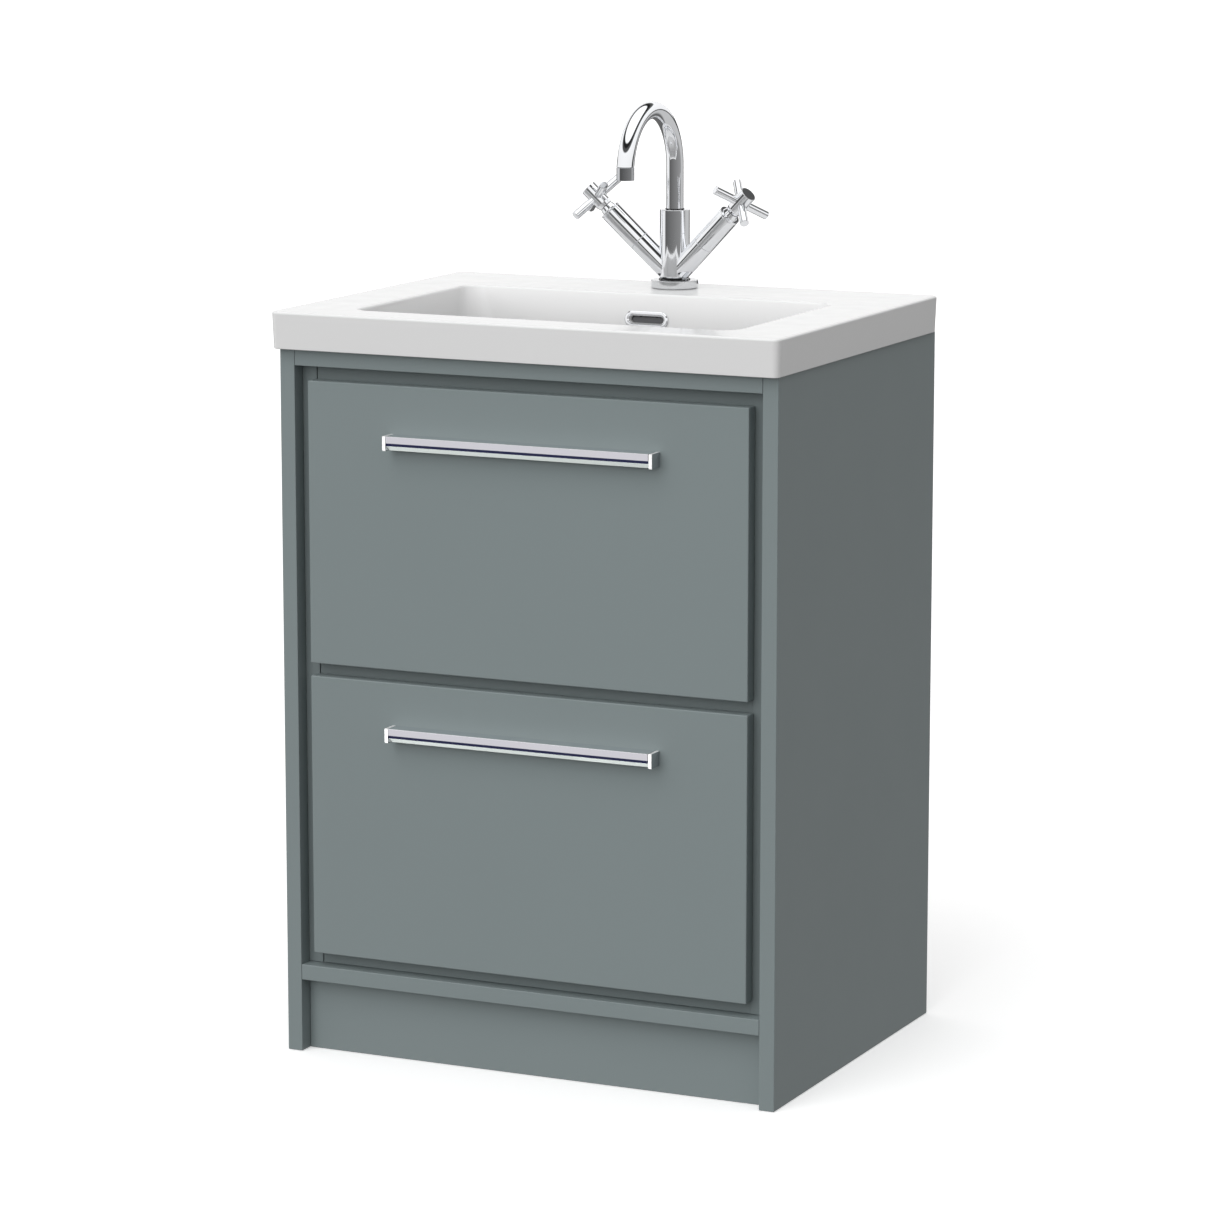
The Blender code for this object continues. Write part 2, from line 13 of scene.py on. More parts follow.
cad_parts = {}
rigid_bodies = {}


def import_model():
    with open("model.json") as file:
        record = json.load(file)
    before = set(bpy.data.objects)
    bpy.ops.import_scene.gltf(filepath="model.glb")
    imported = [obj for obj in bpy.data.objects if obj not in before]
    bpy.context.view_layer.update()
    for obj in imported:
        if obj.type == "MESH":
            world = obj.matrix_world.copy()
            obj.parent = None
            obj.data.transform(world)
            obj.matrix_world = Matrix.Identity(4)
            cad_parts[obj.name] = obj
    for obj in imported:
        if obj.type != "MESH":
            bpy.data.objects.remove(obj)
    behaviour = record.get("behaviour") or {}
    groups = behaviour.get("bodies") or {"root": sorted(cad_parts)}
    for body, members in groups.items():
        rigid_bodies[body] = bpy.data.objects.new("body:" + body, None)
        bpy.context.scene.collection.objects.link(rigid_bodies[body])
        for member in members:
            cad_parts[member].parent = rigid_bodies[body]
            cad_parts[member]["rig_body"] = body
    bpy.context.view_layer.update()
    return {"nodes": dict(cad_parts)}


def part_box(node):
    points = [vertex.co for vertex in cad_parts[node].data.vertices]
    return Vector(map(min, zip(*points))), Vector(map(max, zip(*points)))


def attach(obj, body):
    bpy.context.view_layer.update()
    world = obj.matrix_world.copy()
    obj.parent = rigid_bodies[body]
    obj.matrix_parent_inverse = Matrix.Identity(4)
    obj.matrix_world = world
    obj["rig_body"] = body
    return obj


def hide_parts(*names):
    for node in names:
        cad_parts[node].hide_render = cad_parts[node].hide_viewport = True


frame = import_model()
nodes = frame["nodes"]

# Driving dimensions, from the frame
BASIN_LOW, BASIN_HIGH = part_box("basin")
PANEL_LOW, PANEL_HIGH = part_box("side_panel_right")
FRONT, BACK = PANEL_LOW.y, PANEL_HIGH.y
DECK_Z = BASIN_HIGH.z

# Basin
RIM_BOTTOM = PANEL_HIGH.z + 0.0003
BASIN_CORNER = 0.009
BASIN_EDGE = 0.0028
BASIN_DRAFT = 0.0016  # the rim's lower edge stands this far inside its upper edge
SKIRT = 0.024
DECK = 0.016
BOWL_HALF_WIDTH = 0.230
BOWL_FRONT, BOWL_BACK = FRONT + 0.040, FRONT + 0.324
BOWL_EDGE = 0.0035
BOWL_WALL = 0.010
BOWL_TAPER = 0.012
BOWL_FOOT_Z = 0.748
BOWL_FOOT_RADIUS = 0.022
BOWL_FLOOR_Z = 0.724
BOWL_UNDERSIDE_Z = 0.712
WASTE_Y = FRONT + 0.200
WASTE_HOLE = 0.0225
OVERFLOW_Z = 0.8146

# Tap
TAP_Y = FRONT + 0.397
TAP_BASE_RADIUS, TAP_BASE_HEIGHT = 0.0272, 0.0095
SLEEVE_RADIUS, SLEEVE_TOP = 0.0173, 0.0905
ARM_START, ARM_RADIUS, ARM_SEAM, ARM_END = 0.0125, 0.0127, 0.058, 0.108
ARM_SPREAD, ARM_LEAN = radians(44.5), radians(11)
HUB_LOW, HUB_HIGH, HUB_RADIUS = 0.1142, 0.144, 0.0095
SPOKE_AT, SPOKE_RADIUS, SPOKE_LENGTH = 0.129, 0.0049, 0.037
SPOUT_RADIUS, SPOUT_BORE, SPOUT_BEND, SPOUT_SPRING = 0.0100, 0.0075, 0.0675, 0.141
AERATOR_LOW, AERATOR_HIGH = 0.134, 0.149

# Handles
HANDLE_FLAT = 0.0077
HANDLE_LIP = 0.0110
HANDLE_WALL = 0.0022
HANDLE_END = 0.0045


# ---------------------------------------------------------------- materials


def remap(tree, source, low, high, to_low, to_high):
    """Maps a source from low..high to a range of values."""
    node = tree.nodes.new("ShaderNodeMapRange")
    for socket, value in zip(("From Min", "From Max", "To Min", "To Max"), (low, high, to_low, to_high)):
        node.inputs[socket].default_value = value
    tree.links.new(source, node.inputs["Value"])
    return node.outputs["Result"]


class Look:
    """A Principled material under construction, with small helpers for its nodes."""

    def __init__(self, name, colour, roughness, metallic=0.0):
        self.material = bpy.data.materials.new(name)
        self.material.use_nodes = True
        self.nodes = self.material.node_tree.nodes
        self.links = self.material.node_tree.links
        self.shader = self.nodes["Principled BSDF"]
        self.shader.inputs["Base Color"].default_value = (*colour, 1.0)
        self.shader.inputs["Roughness"].default_value = roughness
        self.shader.inputs["Metallic"].default_value = metallic
        self.colour = colour
        self.roughness = roughness
        self.place = self.add("ShaderNodeTexCoord").outputs["Object"]

    def add(self, kind, **settings):
        node = self.nodes.new(kind)
        for key, value in settings.items():
            setattr(node, key, value)
        return node

    def noise(self, scale, detail=3.0, stretch=None, distortion=0.0):
        place = self.place
        if stretch:
            mapping = self.add("ShaderNodeMapping")
            mapping.inputs["Scale"].default_value = stretch
            self.links.new(place, mapping.inputs["Vector"])
            place = mapping.outputs["Vector"]
        node = self.add("ShaderNodeTexNoise")
        node.inputs["Scale"].default_value = scale
        node.inputs["Detail"].default_value = detail
        node.inputs["Distortion"].default_value = distortion
        self.links.new(place, node.inputs["Vector"])
        return node.outputs["Fac"]

    def ramp(self, source, low, high, to_low, to_high):
        return remap(self.material.node_tree, source, low, high, to_low, to_high)

    def tint(self, source, darker, lighter):
        """Varies the base colour between two multiples of it."""
        node = self.add("ShaderNodeMix", data_type="RGBA")
        node.inputs["A"].default_value = (*[c * darker for c in self.colour], 1.0)
        node.inputs["B"].default_value = (*[c * lighter for c in self.colour], 1.0)
        self.links.new(source, node.inputs["Factor"])
        self.links.new(node.outputs["Result"], self.shader.inputs["Base Color"])

    def vary_roughness(self, source, spread):
        value = self.ramp(source, 0.3, 0.7, max(self.roughness - spread, 0.01), self.roughness + spread)
        self.links.new(value, self.shader.inputs["Roughness"])

    def bump(self, *layers):
        """Bumps, each a (source, strength, distance), on top of one another."""
        normal = None
        for source, strength, distance in layers:
            node = self.add("ShaderNodeBump")
            node.inputs["Strength"].default_value = strength
            node.inputs["Distance"].default_value = distance
            self.links.new(source, node.inputs["Height"])
            if normal:
                self.links.new(normal, node.inputs["Normal"])
            normal = node.outputs["Normal"]
        self.links.new(normal, self.shader.inputs["Normal"])


def paint_look(name, colour, roughness):
    """Sprayed satin paint: a fine orange peel, with barely visible drifts in colour and sheen."""
    look = Look(name, colour, roughness)
    look.tint(look.noise(5.0, 2.0), 0.985, 1.015)
    look.vary_roughness(look.noise(14.0, 4.0), 0.015)
    look.bump((look.noise(420.0, 2.0), 0.10, 0.0003), (look.noise(2200.0, 1.0), 0.06, 0.00008))
    look.shader.inputs["Specular IOR Level"].default_value = 0.5
    return look.material


def board_look():
    """White melamine-faced board: a pressed pearl texture under a soft sheen."""
    look = Look("White melamine", (0.70, 0.70, 0.68), 0.42)
    look.tint(look.noise(9.0, 3.0), 0.975, 1.02)
    look.vary_roughness(look.noise(60.0, 3.0), 0.06)
    look.bump((look.noise(900.0, 3.0, stretch=(1.0, 0.35, 1.0)), 0.22, 0.0002),)
    return look.material


def ceramic_look():
    look = Look("Glazed ceramic", (0.88, 0.88, 0.88), 0.16)
    split = look.add("ShaderNodeSeparateXYZ")
    look.links.new(look.place, split.inputs["Vector"])
    aside = look.add("ShaderNodeMath", operation="ABSOLUTE")
    look.links.new(split.outputs["X"], aside.inputs[0])
    # Painted shade: inside the bowl, deeper than 3 mm below the deck and within its walls, the glaze darkens to 0.78 of
    # its colour in place of the shade the bowl casts on itself; outside is 1 where the glaze keeps its own colour.
    outside = look.ramp(split.outputs["Z"], DECK_Z - 0.040, DECK_Z - 0.003, 0.0, 1.0)
    for source, low, high in (
        (aside.outputs["Value"], BOWL_HALF_WIDTH + 0.005, BOWL_HALF_WIDTH + 0.015),
        (split.outputs["Y"], BOWL_FRONT - 0.005, BOWL_FRONT - 0.015),
        (split.outputs["Y"], BOWL_BACK + 0.005, BOWL_BACK + 0.015),
    ):
        larger = look.add("ShaderNodeMath", operation="MAXIMUM")
        look.links.new(outside, larger.inputs[0])
        look.links.new(look.ramp(source, low, high, 0.0, 1.0), larger.inputs[1])
        outside = larger.outputs["Value"]
    look.tint(outside, 0.78, 1.0)
    look.vary_roughness(look.noise(25.0, 3.0), 0.03)
    look.bump((look.noise(10.0, 1.0), 0.02, 0.0003), (look.noise(700.0, 2.0), 0.02, 0.00006))
    look.shader.inputs["Coat Weight"].default_value = 0.35
    look.shader.inputs["Coat Roughness"].default_value = 0.05
    return look.material


def chrome_look(name="Polished chrome", colour=(0.86, 0.87, 0.89), roughness=0.035):
    look = Look(name, colour, roughness, 1.0)
    look.tint(look.noise(12.0, 2.0), 0.99, 1.0)
    look.vary_roughness(look.noise(40.0, 5.0), 0.012)
    look.bump((look.noise(30.0, 1.0), 0.02, 0.0002),)
    return look.material


def steel_look():
    """Zinc-plated runner steel: rolled along its length, with a faint crystalline mottle."""
    look = Look("Zinc-plated steel", (0.60, 0.61, 0.63), 0.32, 1.0)
    cells = look.add("ShaderNodeTexVoronoi")
    cells.inputs["Scale"].default_value = 160.0
    look.links.new(look.place, cells.inputs["Vector"])
    look.tint(look.ramp(cells.outputs["Distance"], 0.0, 0.8, 0.0, 1.0), 0.93, 1.05)
    look.vary_roughness(look.noise(700.0, 2.0, stretch=(1.0, 0.02, 1.0)), 0.09)
    look.bump((look.noise(900.0, 2.0, stretch=(1.0, 0.02, 1.0)), 0.15, 0.0001),)
    return look.material


def plastic_look(name, colour, roughness):
    look = Look(name, colour, roughness)
    look.tint(look.noise(15.0, 3.0), 0.97, 1.02)
    look.vary_roughness(look.noise(80.0, 3.0), 0.05)
    look.bump((look.noise(1500.0, 2.0), 0.12, 0.0001),)
    return look.material


PAINT_COLOUR = (0.247, 0.291, 0.296)
paint = paint_look("Satin grey paint", PAINT_COLOUR, 0.42)
# The carcass boards take the front paint darkened to 0.76, a painted shade for the recessed gaps behind the drawer
# fronts and the back.
shaded_carcass_paint = paint_look("Painted carcass board", tuple(0.76 * c for c in PAINT_COLOUR), 0.48)
melamine = board_look()
ceramic = ceramic_look()
chrome = chrome_look()
# A darker copy of the chrome, a painted shade and dark reflection for the aerator and the end faces of the handle caps.
shaded_chrome = chrome_look("Chrome, painted shade", (0.55, 0.56, 0.58), 0.06)
flange_chrome = chrome_look("Chrome, tap flange", (0.68, 0.69, 0.70), 0.10)
# A near-black copy of the chrome for the handle's fold line: a painted dark reflection and shade in the crease.
fold_shade_chrome = chrome_look("Chrome, painted fold shade", (0.035, 0.04, 0.10), 0.15)
# A near-white copy of the chrome for the handle caps: a painted bright reflection.
cap_glint_chrome = chrome_look("Chrome, handle caps, painted highlight", (0.93, 0.93, 0.93), 0.18)
# A pale green-white, barely metallic copy for the handles' lower lip: a painted reflection of the pale surroundings.
lip_reflection_chrome = chrome_look("Chrome, lower lip, painted reflection", (0.80, 0.84, 0.82), 0.22)
# The caps and the lower lip are made barely metallic, so their pale colours show as painted reflection.
for bright in (cap_glint_chrome, lip_reflection_chrome):
    bright.node_tree.nodes["Principled BSDF"].inputs["Metallic"].default_value = 0.1
steel = steel_look()
white_plastic = plastic_look("Moulded white plastic", (0.80, 0.80, 0.78), 0.28)
grey_plastic = plastic_look("Moulded grey plastic", (0.32, 0.33, 0.34), 0.42)
dark_plastic = plastic_look("Moulded dark plastic", (0.10, 0.10, 0.105), 0.40)
rubber = plastic_look("Black rubber", (0.018, 0.018, 0.019), 0.62)


# ---------------------------------------------------------------- shapes


def piece(name, edit, finish, body, replaces=(), at=(0, 0, 0), turn=None, crease=32):
    """Turns a bmesh into a smooth-shaded piece that rides on a body, in place of some CAD nodes."""
    bmesh.ops.remove_doubles(edit, verts=edit.verts, dist=1e-6)
    bmesh.ops.recalc_face_normals(edit, faces=edit.faces)
    mesh = bpy.data.meshes.new(name)
    edit.to_mesh(mesh)
    edit.free()
    mesh.materials.append(finish)
    mesh.transform(Matrix.LocRotScale(Vector(at), turn.to_quaternion() if turn else None, None))
    mesh.shade_smooth()
    mesh.set_sharp_from_angle(angle=radians(crease))
    made = bpy.data.objects.new(name, mesh)
    bpy.context.scene.collection.objects.link(made)
    weighted = made.modifiers.new("Weighted normals", "WEIGHTED_NORMAL")
    weighted.keep_sharp = True
    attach(made, body)
    if replaces:
        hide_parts(*replaces)
    return made


def soften(points, radius, closed=False, steps=4):
    """Turns an outline's corners into arcs. A point may carry its own radius as a third value."""
    rounded = []
    count = len(points)
    for i, point in enumerate(points):
        here = Vector(point[:2])
        own = point[2] if len(point) == 3 else radius
        if own == 0 or (not closed and i in (0, count - 1)):
            rounded.append(here)
            continue
        before = Vector(points[i - 1][:2]) - here
        after = Vector(points[(i + 1) % count][:2]) - here
        corner = before.angle(after)
        if corner > pi - 0.02:
            rounded.append(here)
            continue
        reach = min(own / tan(corner / 2), 0.45 * before.length, 0.45 * after.length)
        arc_radius = reach * tan(corner / 2)
        middle = here + (before.normalized() + after.normalized()).normalized() * arc_radius / sin(corner / 2)
        first = here + before.normalized() * reach - middle
        last = here + after.normalized() * reach - middle
        sweep = atan2(first.x * last.y - first.y * last.x, first.dot(last))
        for step in range(steps + 1):
            angle = sweep * step / steps
            turned = (first.x * cos(angle) - first.y * sin(angle), first.x * sin(angle) + first.y * cos(angle))
            rounded.append(middle + Vector(turned))
    return rounded


def loft(rings, looped=False):
    """A surface through rings of points: looped joins the last ring to the first, else both are capped."""
    edit = bmesh.new()
    rows = [[edit.verts.new(point) for point in ring] for ring in rings]
    count = len(rows[0])
    following = rows[1:] + rows[:1] if looped else rows[1:]
    for row, after in zip(rows, following):
        for i in range(count):
            j = (i + 1) % count
            edit.faces.new((row[i], row[j], after[j], after[i]))
    if not looped:
        edit.faces.new(rows[0])
        edit.faces.new(rows[-1])
    return edit


def circle(radius, height, segments, lobes=0, depth=0.0):
    """A level ring; lobes and a depth flute it, as on a hand-tightened nut."""
    ring = []
    for i in range(segments):
        angle = 2 * pi * i / segments
        r = radius - depth * (0.5 + 0.5 * cos(lobes * angle)) if lobes else radius
        ring.append(Vector((r * cos(angle), r * sin(angle), height)))
    return ring


def lathe(profile, segments=64, looped=False):
    return loft([circle(r, z, segments) for r, z in profile], looped)


def turned(name, points, finish, body, slot, at, turn=None, looped=False, radius=0.0004, segments=64, replaces=()):
    """A solid of revolution about its own Z from (radius, height) points, with its corners softened."""
    profile = soften(points, radius, closed=looped)
    return piece(name, lathe(profile, segments, looped), finish, body, replaces, at, turn)


def extrude(outline, low, high, edge=0.0, steps=3):
    """An (x, y) outline drawn up from low to high along Z, its end edges rounded by pulling the outline in."""
    stations = [(low, 0.0), (high, 0.0)]
    if edge:
        angles = [pi / 2 * i / steps for i in range(steps + 1)]
        stations = [(low + edge * (1 - sin(a)), edge * (1 - cos(a))) for a in reversed(angles)]
        stations += [(high - edge * (1 - sin(a)), edge * (1 - cos(a))) for a in angles]
    rings = [[Vector((*p, z)) for p in shrink(outline, inset)] for z, inset in stations]
    return loft(rings)


def shrink(outline, inset):
    """Pulls a counter-clockwise outline in by a small distance."""
    if not inset:
        return outline
    pulled = []
    for i, point in enumerate(outline):
        along = (outline[(i + 1) % len(outline)] - point).normalized()
        before = (point - outline[i - 1]).normalized()
        normals = [Vector((-d.y, d.x)) for d in (before, along)]
        middle = (normals[0] + normals[1]).normalized()
        pulled.append(point + middle * inset / max(middle.dot(normals[0]), 0.4))
    return pulled


def box_outline(x_low, x_high, y_low, y_high, corner=0.0, steps=4):
    points = [(x_low, y_low), (x_high, y_low), (x_high, y_high), (x_low, y_high)]
    return soften(points, corner, closed=True, steps=steps) if corner else [Vector(p) for p in points]


def slab(low, high, edge):
    """A board with rounded edges and corners between two corners of a box."""
    low, high = Vector(low), Vector(high)
    outline = box_outline(low.x, high.x, low.y, high.y, edge, 3)
    return extrude(outline, low.z, high.z, edge)


def rounded_rectangle(half_width, front, back, corner, z, steps=14):
    """A level ring of points with quarter-round corners, counter-clockwise from the right front corner."""
    corner = min(corner, half_width, (back - front) / 2)
    centres = [
        (half_width - corner, front + corner, -pi / 2),
        (half_width - corner, back - corner, 0.0),
        (corner - half_width, back - corner, pi / 2),
        (corner - half_width, front + corner, pi),
    ]
    return [
        Vector((x + corner * cos(start + pi / 2 * i / steps), y + corner * sin(start + pi / 2 * i / steps), z))
        for x, y, start in centres
        for i in range(steps + 1)
    ]


def inset_ring(half_width, front, back, corner, inset, z):
    return rounded_rectangle(half_width - inset, front + inset, back - inset, max(corner - inset, 0.0008), z)


def stadium(length, height, steps=14):
    """The outline of a slot with round ends, counter-clockwise, end to end length by height."""
    radius = height / 2
    ends = [(length / 2 - radius, -pi / 2), (radius - length / 2, pi / 2)]
    return [
        Vector((centre + radius * cos(start + pi * i / steps), radius * sin(start + pi * i / steps)))
        for centre, start in ends
        for i in range(steps + 1)
    ]


def subtract(made, cutter_edit, name):
    """Cuts a shape out of a piece and keeps the result in its mesh."""
    bmesh.ops.recalc_face_normals(cutter_edit, faces=cutter_edit.faces)
    mesh = bpy.data.meshes.new(name)
    cutter_edit.to_mesh(mesh)
    cutter_edit.free()
    cutter = bpy.data.objects.new(name, mesh)
    bpy.context.scene.collection.objects.link(cutter)
    weighted = made.modifiers.get("Weighted normals")
    made.modifiers.remove(weighted)
    boolean = made.modifiers.new("Cut", "BOOLEAN")
    boolean.operation = "DIFFERENCE"
    boolean.solver = "EXACT"
    boolean.object = cutter
    bpy.context.view_layer.update()
    result = bpy.data.meshes.new_from_object(made.evaluated_get(bpy.context.evaluated_depsgraph_get()))
    made.modifiers.clear()
    made.data = result
    bpy.data.objects.remove(cutter, do_unlink=True)
    result.shade_smooth()
    result.set_sharp_from_angle(angle=radians(32))
    weighted = made.modifiers.new("Weighted normals", "WEIGHTED_NORMAL")
    weighted.keep_sharp = True
    return made


def body_of(node):
    return nodes[node]["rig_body"]


# ---------------------------------------------------------------- basin


def bowl_section(depth):
    """Half width, front, back and corner radius of the bowl's inner wall, 0 at the rim to 1 at its foot."""
    taper = BOWL_TAPER * depth
    return BOWL_HALF_WIDTH - taper, BOWL_FRONT + taper, BOWL_BACK - taper, 0.022 + 0.026 * depth


def make_basin():
    half_width = BASIN_HIGH.x
    outside = (half_width, BASIN_LOW.y, BASIN_HIGH.y, BASIN_CORNER)
    quarter = [pi / 2 * i / 8 for i in range(9)]
    rings = [inset_ring(*outside, SKIRT, RIM_BOTTOM)]
    rings.append(inset_ring(*outside, BASIN_DRAFT + 0.0012, RIM_BOTTOM))
    rings.append(inset_ring(*outside, BASIN_DRAFT + 0.0003, RIM_BOTTOM + 0.0004))
    rings.append(inset_ring(*outside, BASIN_DRAFT, RIM_BOTTOM + 0.0012))
    for angle in quarter:
        rings.append(inset_ring(*outside, BASIN_EDGE * (1 - cos(angle)), DECK_Z - BASIN_EDGE * (1 - sin(angle))))
    rim = bowl_section(0.0)
    for angle in reversed(quarter):
        rings.append(inset_ring(*rim, -BOWL_EDGE * (1 - cos(angle)), DECK_Z - BOWL_EDGE * (1 - sin(angle))))
    for depth in (0.25, 0.5, 0.75):
        rings.append(inset_ring(*bowl_section(depth), 0.0, DECK_Z - depth * (DECK_Z - BOWL_FOOT_Z)))
    foot = bowl_section(1.0)
    for angle in quarter:
        drop = BOWL_FOOT_RADIUS * sin(angle)
        rings.append(inset_ring(*foot, BOWL_FOOT_RADIUS * (1 - cos(angle)), BOWL_FOOT_Z - drop))
    floor_from = inset_ring(*foot, BOWL_FOOT_RADIUS, BOWL_FLOOR_Z + 0.002)
    seat = rounded_rectangle(0.036, WASTE_Y - 0.036, WASTE_Y + 0.036, 0.036, BOWL_FLOOR_Z)
    for share in (0.35, 0.7):
        rings.append([a.lerp(b, share) for a, b in zip(floor_from, seat)])
    rings.append(seat)
    hole = (WASTE_HOLE, WASTE_Y - WASTE_HOLE, WASTE_Y + WASTE_HOLE, WASTE_HOLE)
    rings.append(rounded_rectangle(0.0330, WASTE_Y - 0.0330, WASTE_Y + 0.0330, 0.0330, BOWL_FLOOR_Z))
    rings.append(rounded_rectangle(*hole, BOWL_FLOOR_Z))
    rings.append(rounded_rectangle(*hole, BOWL_UNDERSIDE_Z))
    under_corner = 0.012
    rings.append(inset_ring(*foot, BOWL_FOOT_RADIUS, BOWL_UNDERSIDE_Z))
    for angle in quarter:
        inset = -BOWL_WALL + BOWL_FOOT_RADIUS * (1 - sin(angle))
        z = BOWL_UNDERSIDE_Z + BOWL_FOOT_RADIUS * (1 - cos(angle))
        rings.append(inset_ring(*foot, inset, z))
    for angle in quarter:
        inset = -BOWL_WALL - under_corner * (1 - cos(angle))
        rings.append(inset_ring(*rim, inset, DECK_Z - DECK - under_corner * (1 - sin(angle))))
    rings.append(inset_ring(*outside, SKIRT + 0.004, DECK_Z - DECK))
    rings.append(inset_ring(*outside, SKIRT, DECK_Z - DECK - 0.004))
    made = piece("basin_ceramic", loft(rings, looped=True), ceramic, "cabinet", ["basin"])

    wall_lean = Matrix.Rotation(-atan2(BOWL_TAPER, DECK_Z - BOWL_FOOT_Z), 4, "X")
    wall_y = BOWL_BACK - BOWL_TAPER * (DECK_Z - OVERFLOW_Z) / (DECK_Z - BOWL_FOOT_Z)
    slot_edit = extrude(stadium(0.042, 0.008), -0.020, 0.010)
    upright = Matrix.Rotation(pi / 2, 4, "X")
    slot_edit.transform(Matrix.Translation((0, wall_y, OVERFLOW_Z)) @ upright)
    subtract(made, slot_edit, "overflow_cut")
    tap_hole = lathe([(0.0175, -0.03), (0.0175, 0.01)], 48)
    tap_hole.transform(Matrix.Translation((0, TAP_Y, DECK_Z)))
    subtract(made, tap_hole, "tap_hole_cut")

    # Chrome overflow ring: a raised bead around the slot, with a recessed step inside it
    section = soften([(0.0, 0.0), (0.0, 0.0018), (0.0012, 0.0028), (0.0034, 0.0028), (0.0044, 0.0014), (0.0052, 0.0012),
                      (0.0056, 0.0)], 0.0005, closed=True)
    outer = stadium(0.054, 0.019)
    rings = [[Vector((*p, z)) for p in shrink(outer, inset)] for inset, z in section]
    bead = loft(rings, looped=True)
    place = Matrix.Translation((0, wall_y, OVERFLOW_Z)) @ wall_lean @ upright @ Matrix.Translation((0, 0, 0.0004))
    bead.transform(place)
    piece("overflow_trim", bead, chrome, "cabinet", ["overflow_ring"])
    baffle = extrude(stadium(0.0395, 0.0062), -0.0052, -0.0042, 0.0003)
    for x in (-0.010, 0.010):
        leg = slab((x - 0.0015, -0.0039, -0.0065), (x + 0.0015, 0.0039, -0.0053), 0.0002)
        join(baffle, leg)
    baffle.transform(place)
    piece("overflow_baffle", baffle, dark_plastic, "cabinet")


# ---------------------------------------------------------------- tap


def arm_turn(side):
    """The turn that takes +Z to an arm's direction, keeping its own X in the upright plane through the arm."""
    outward = Vector((side * sin(ARM_SPREAD), 0, cos(ARM_SPREAD)))
    outward = Matrix.Rotation(ARM_LEAN, 3, "X") @ outward
    across = Vector((0, 1, 0)).cross(outward).normalized()
    return Matrix((across, outward.cross(across), outward)).transposed()


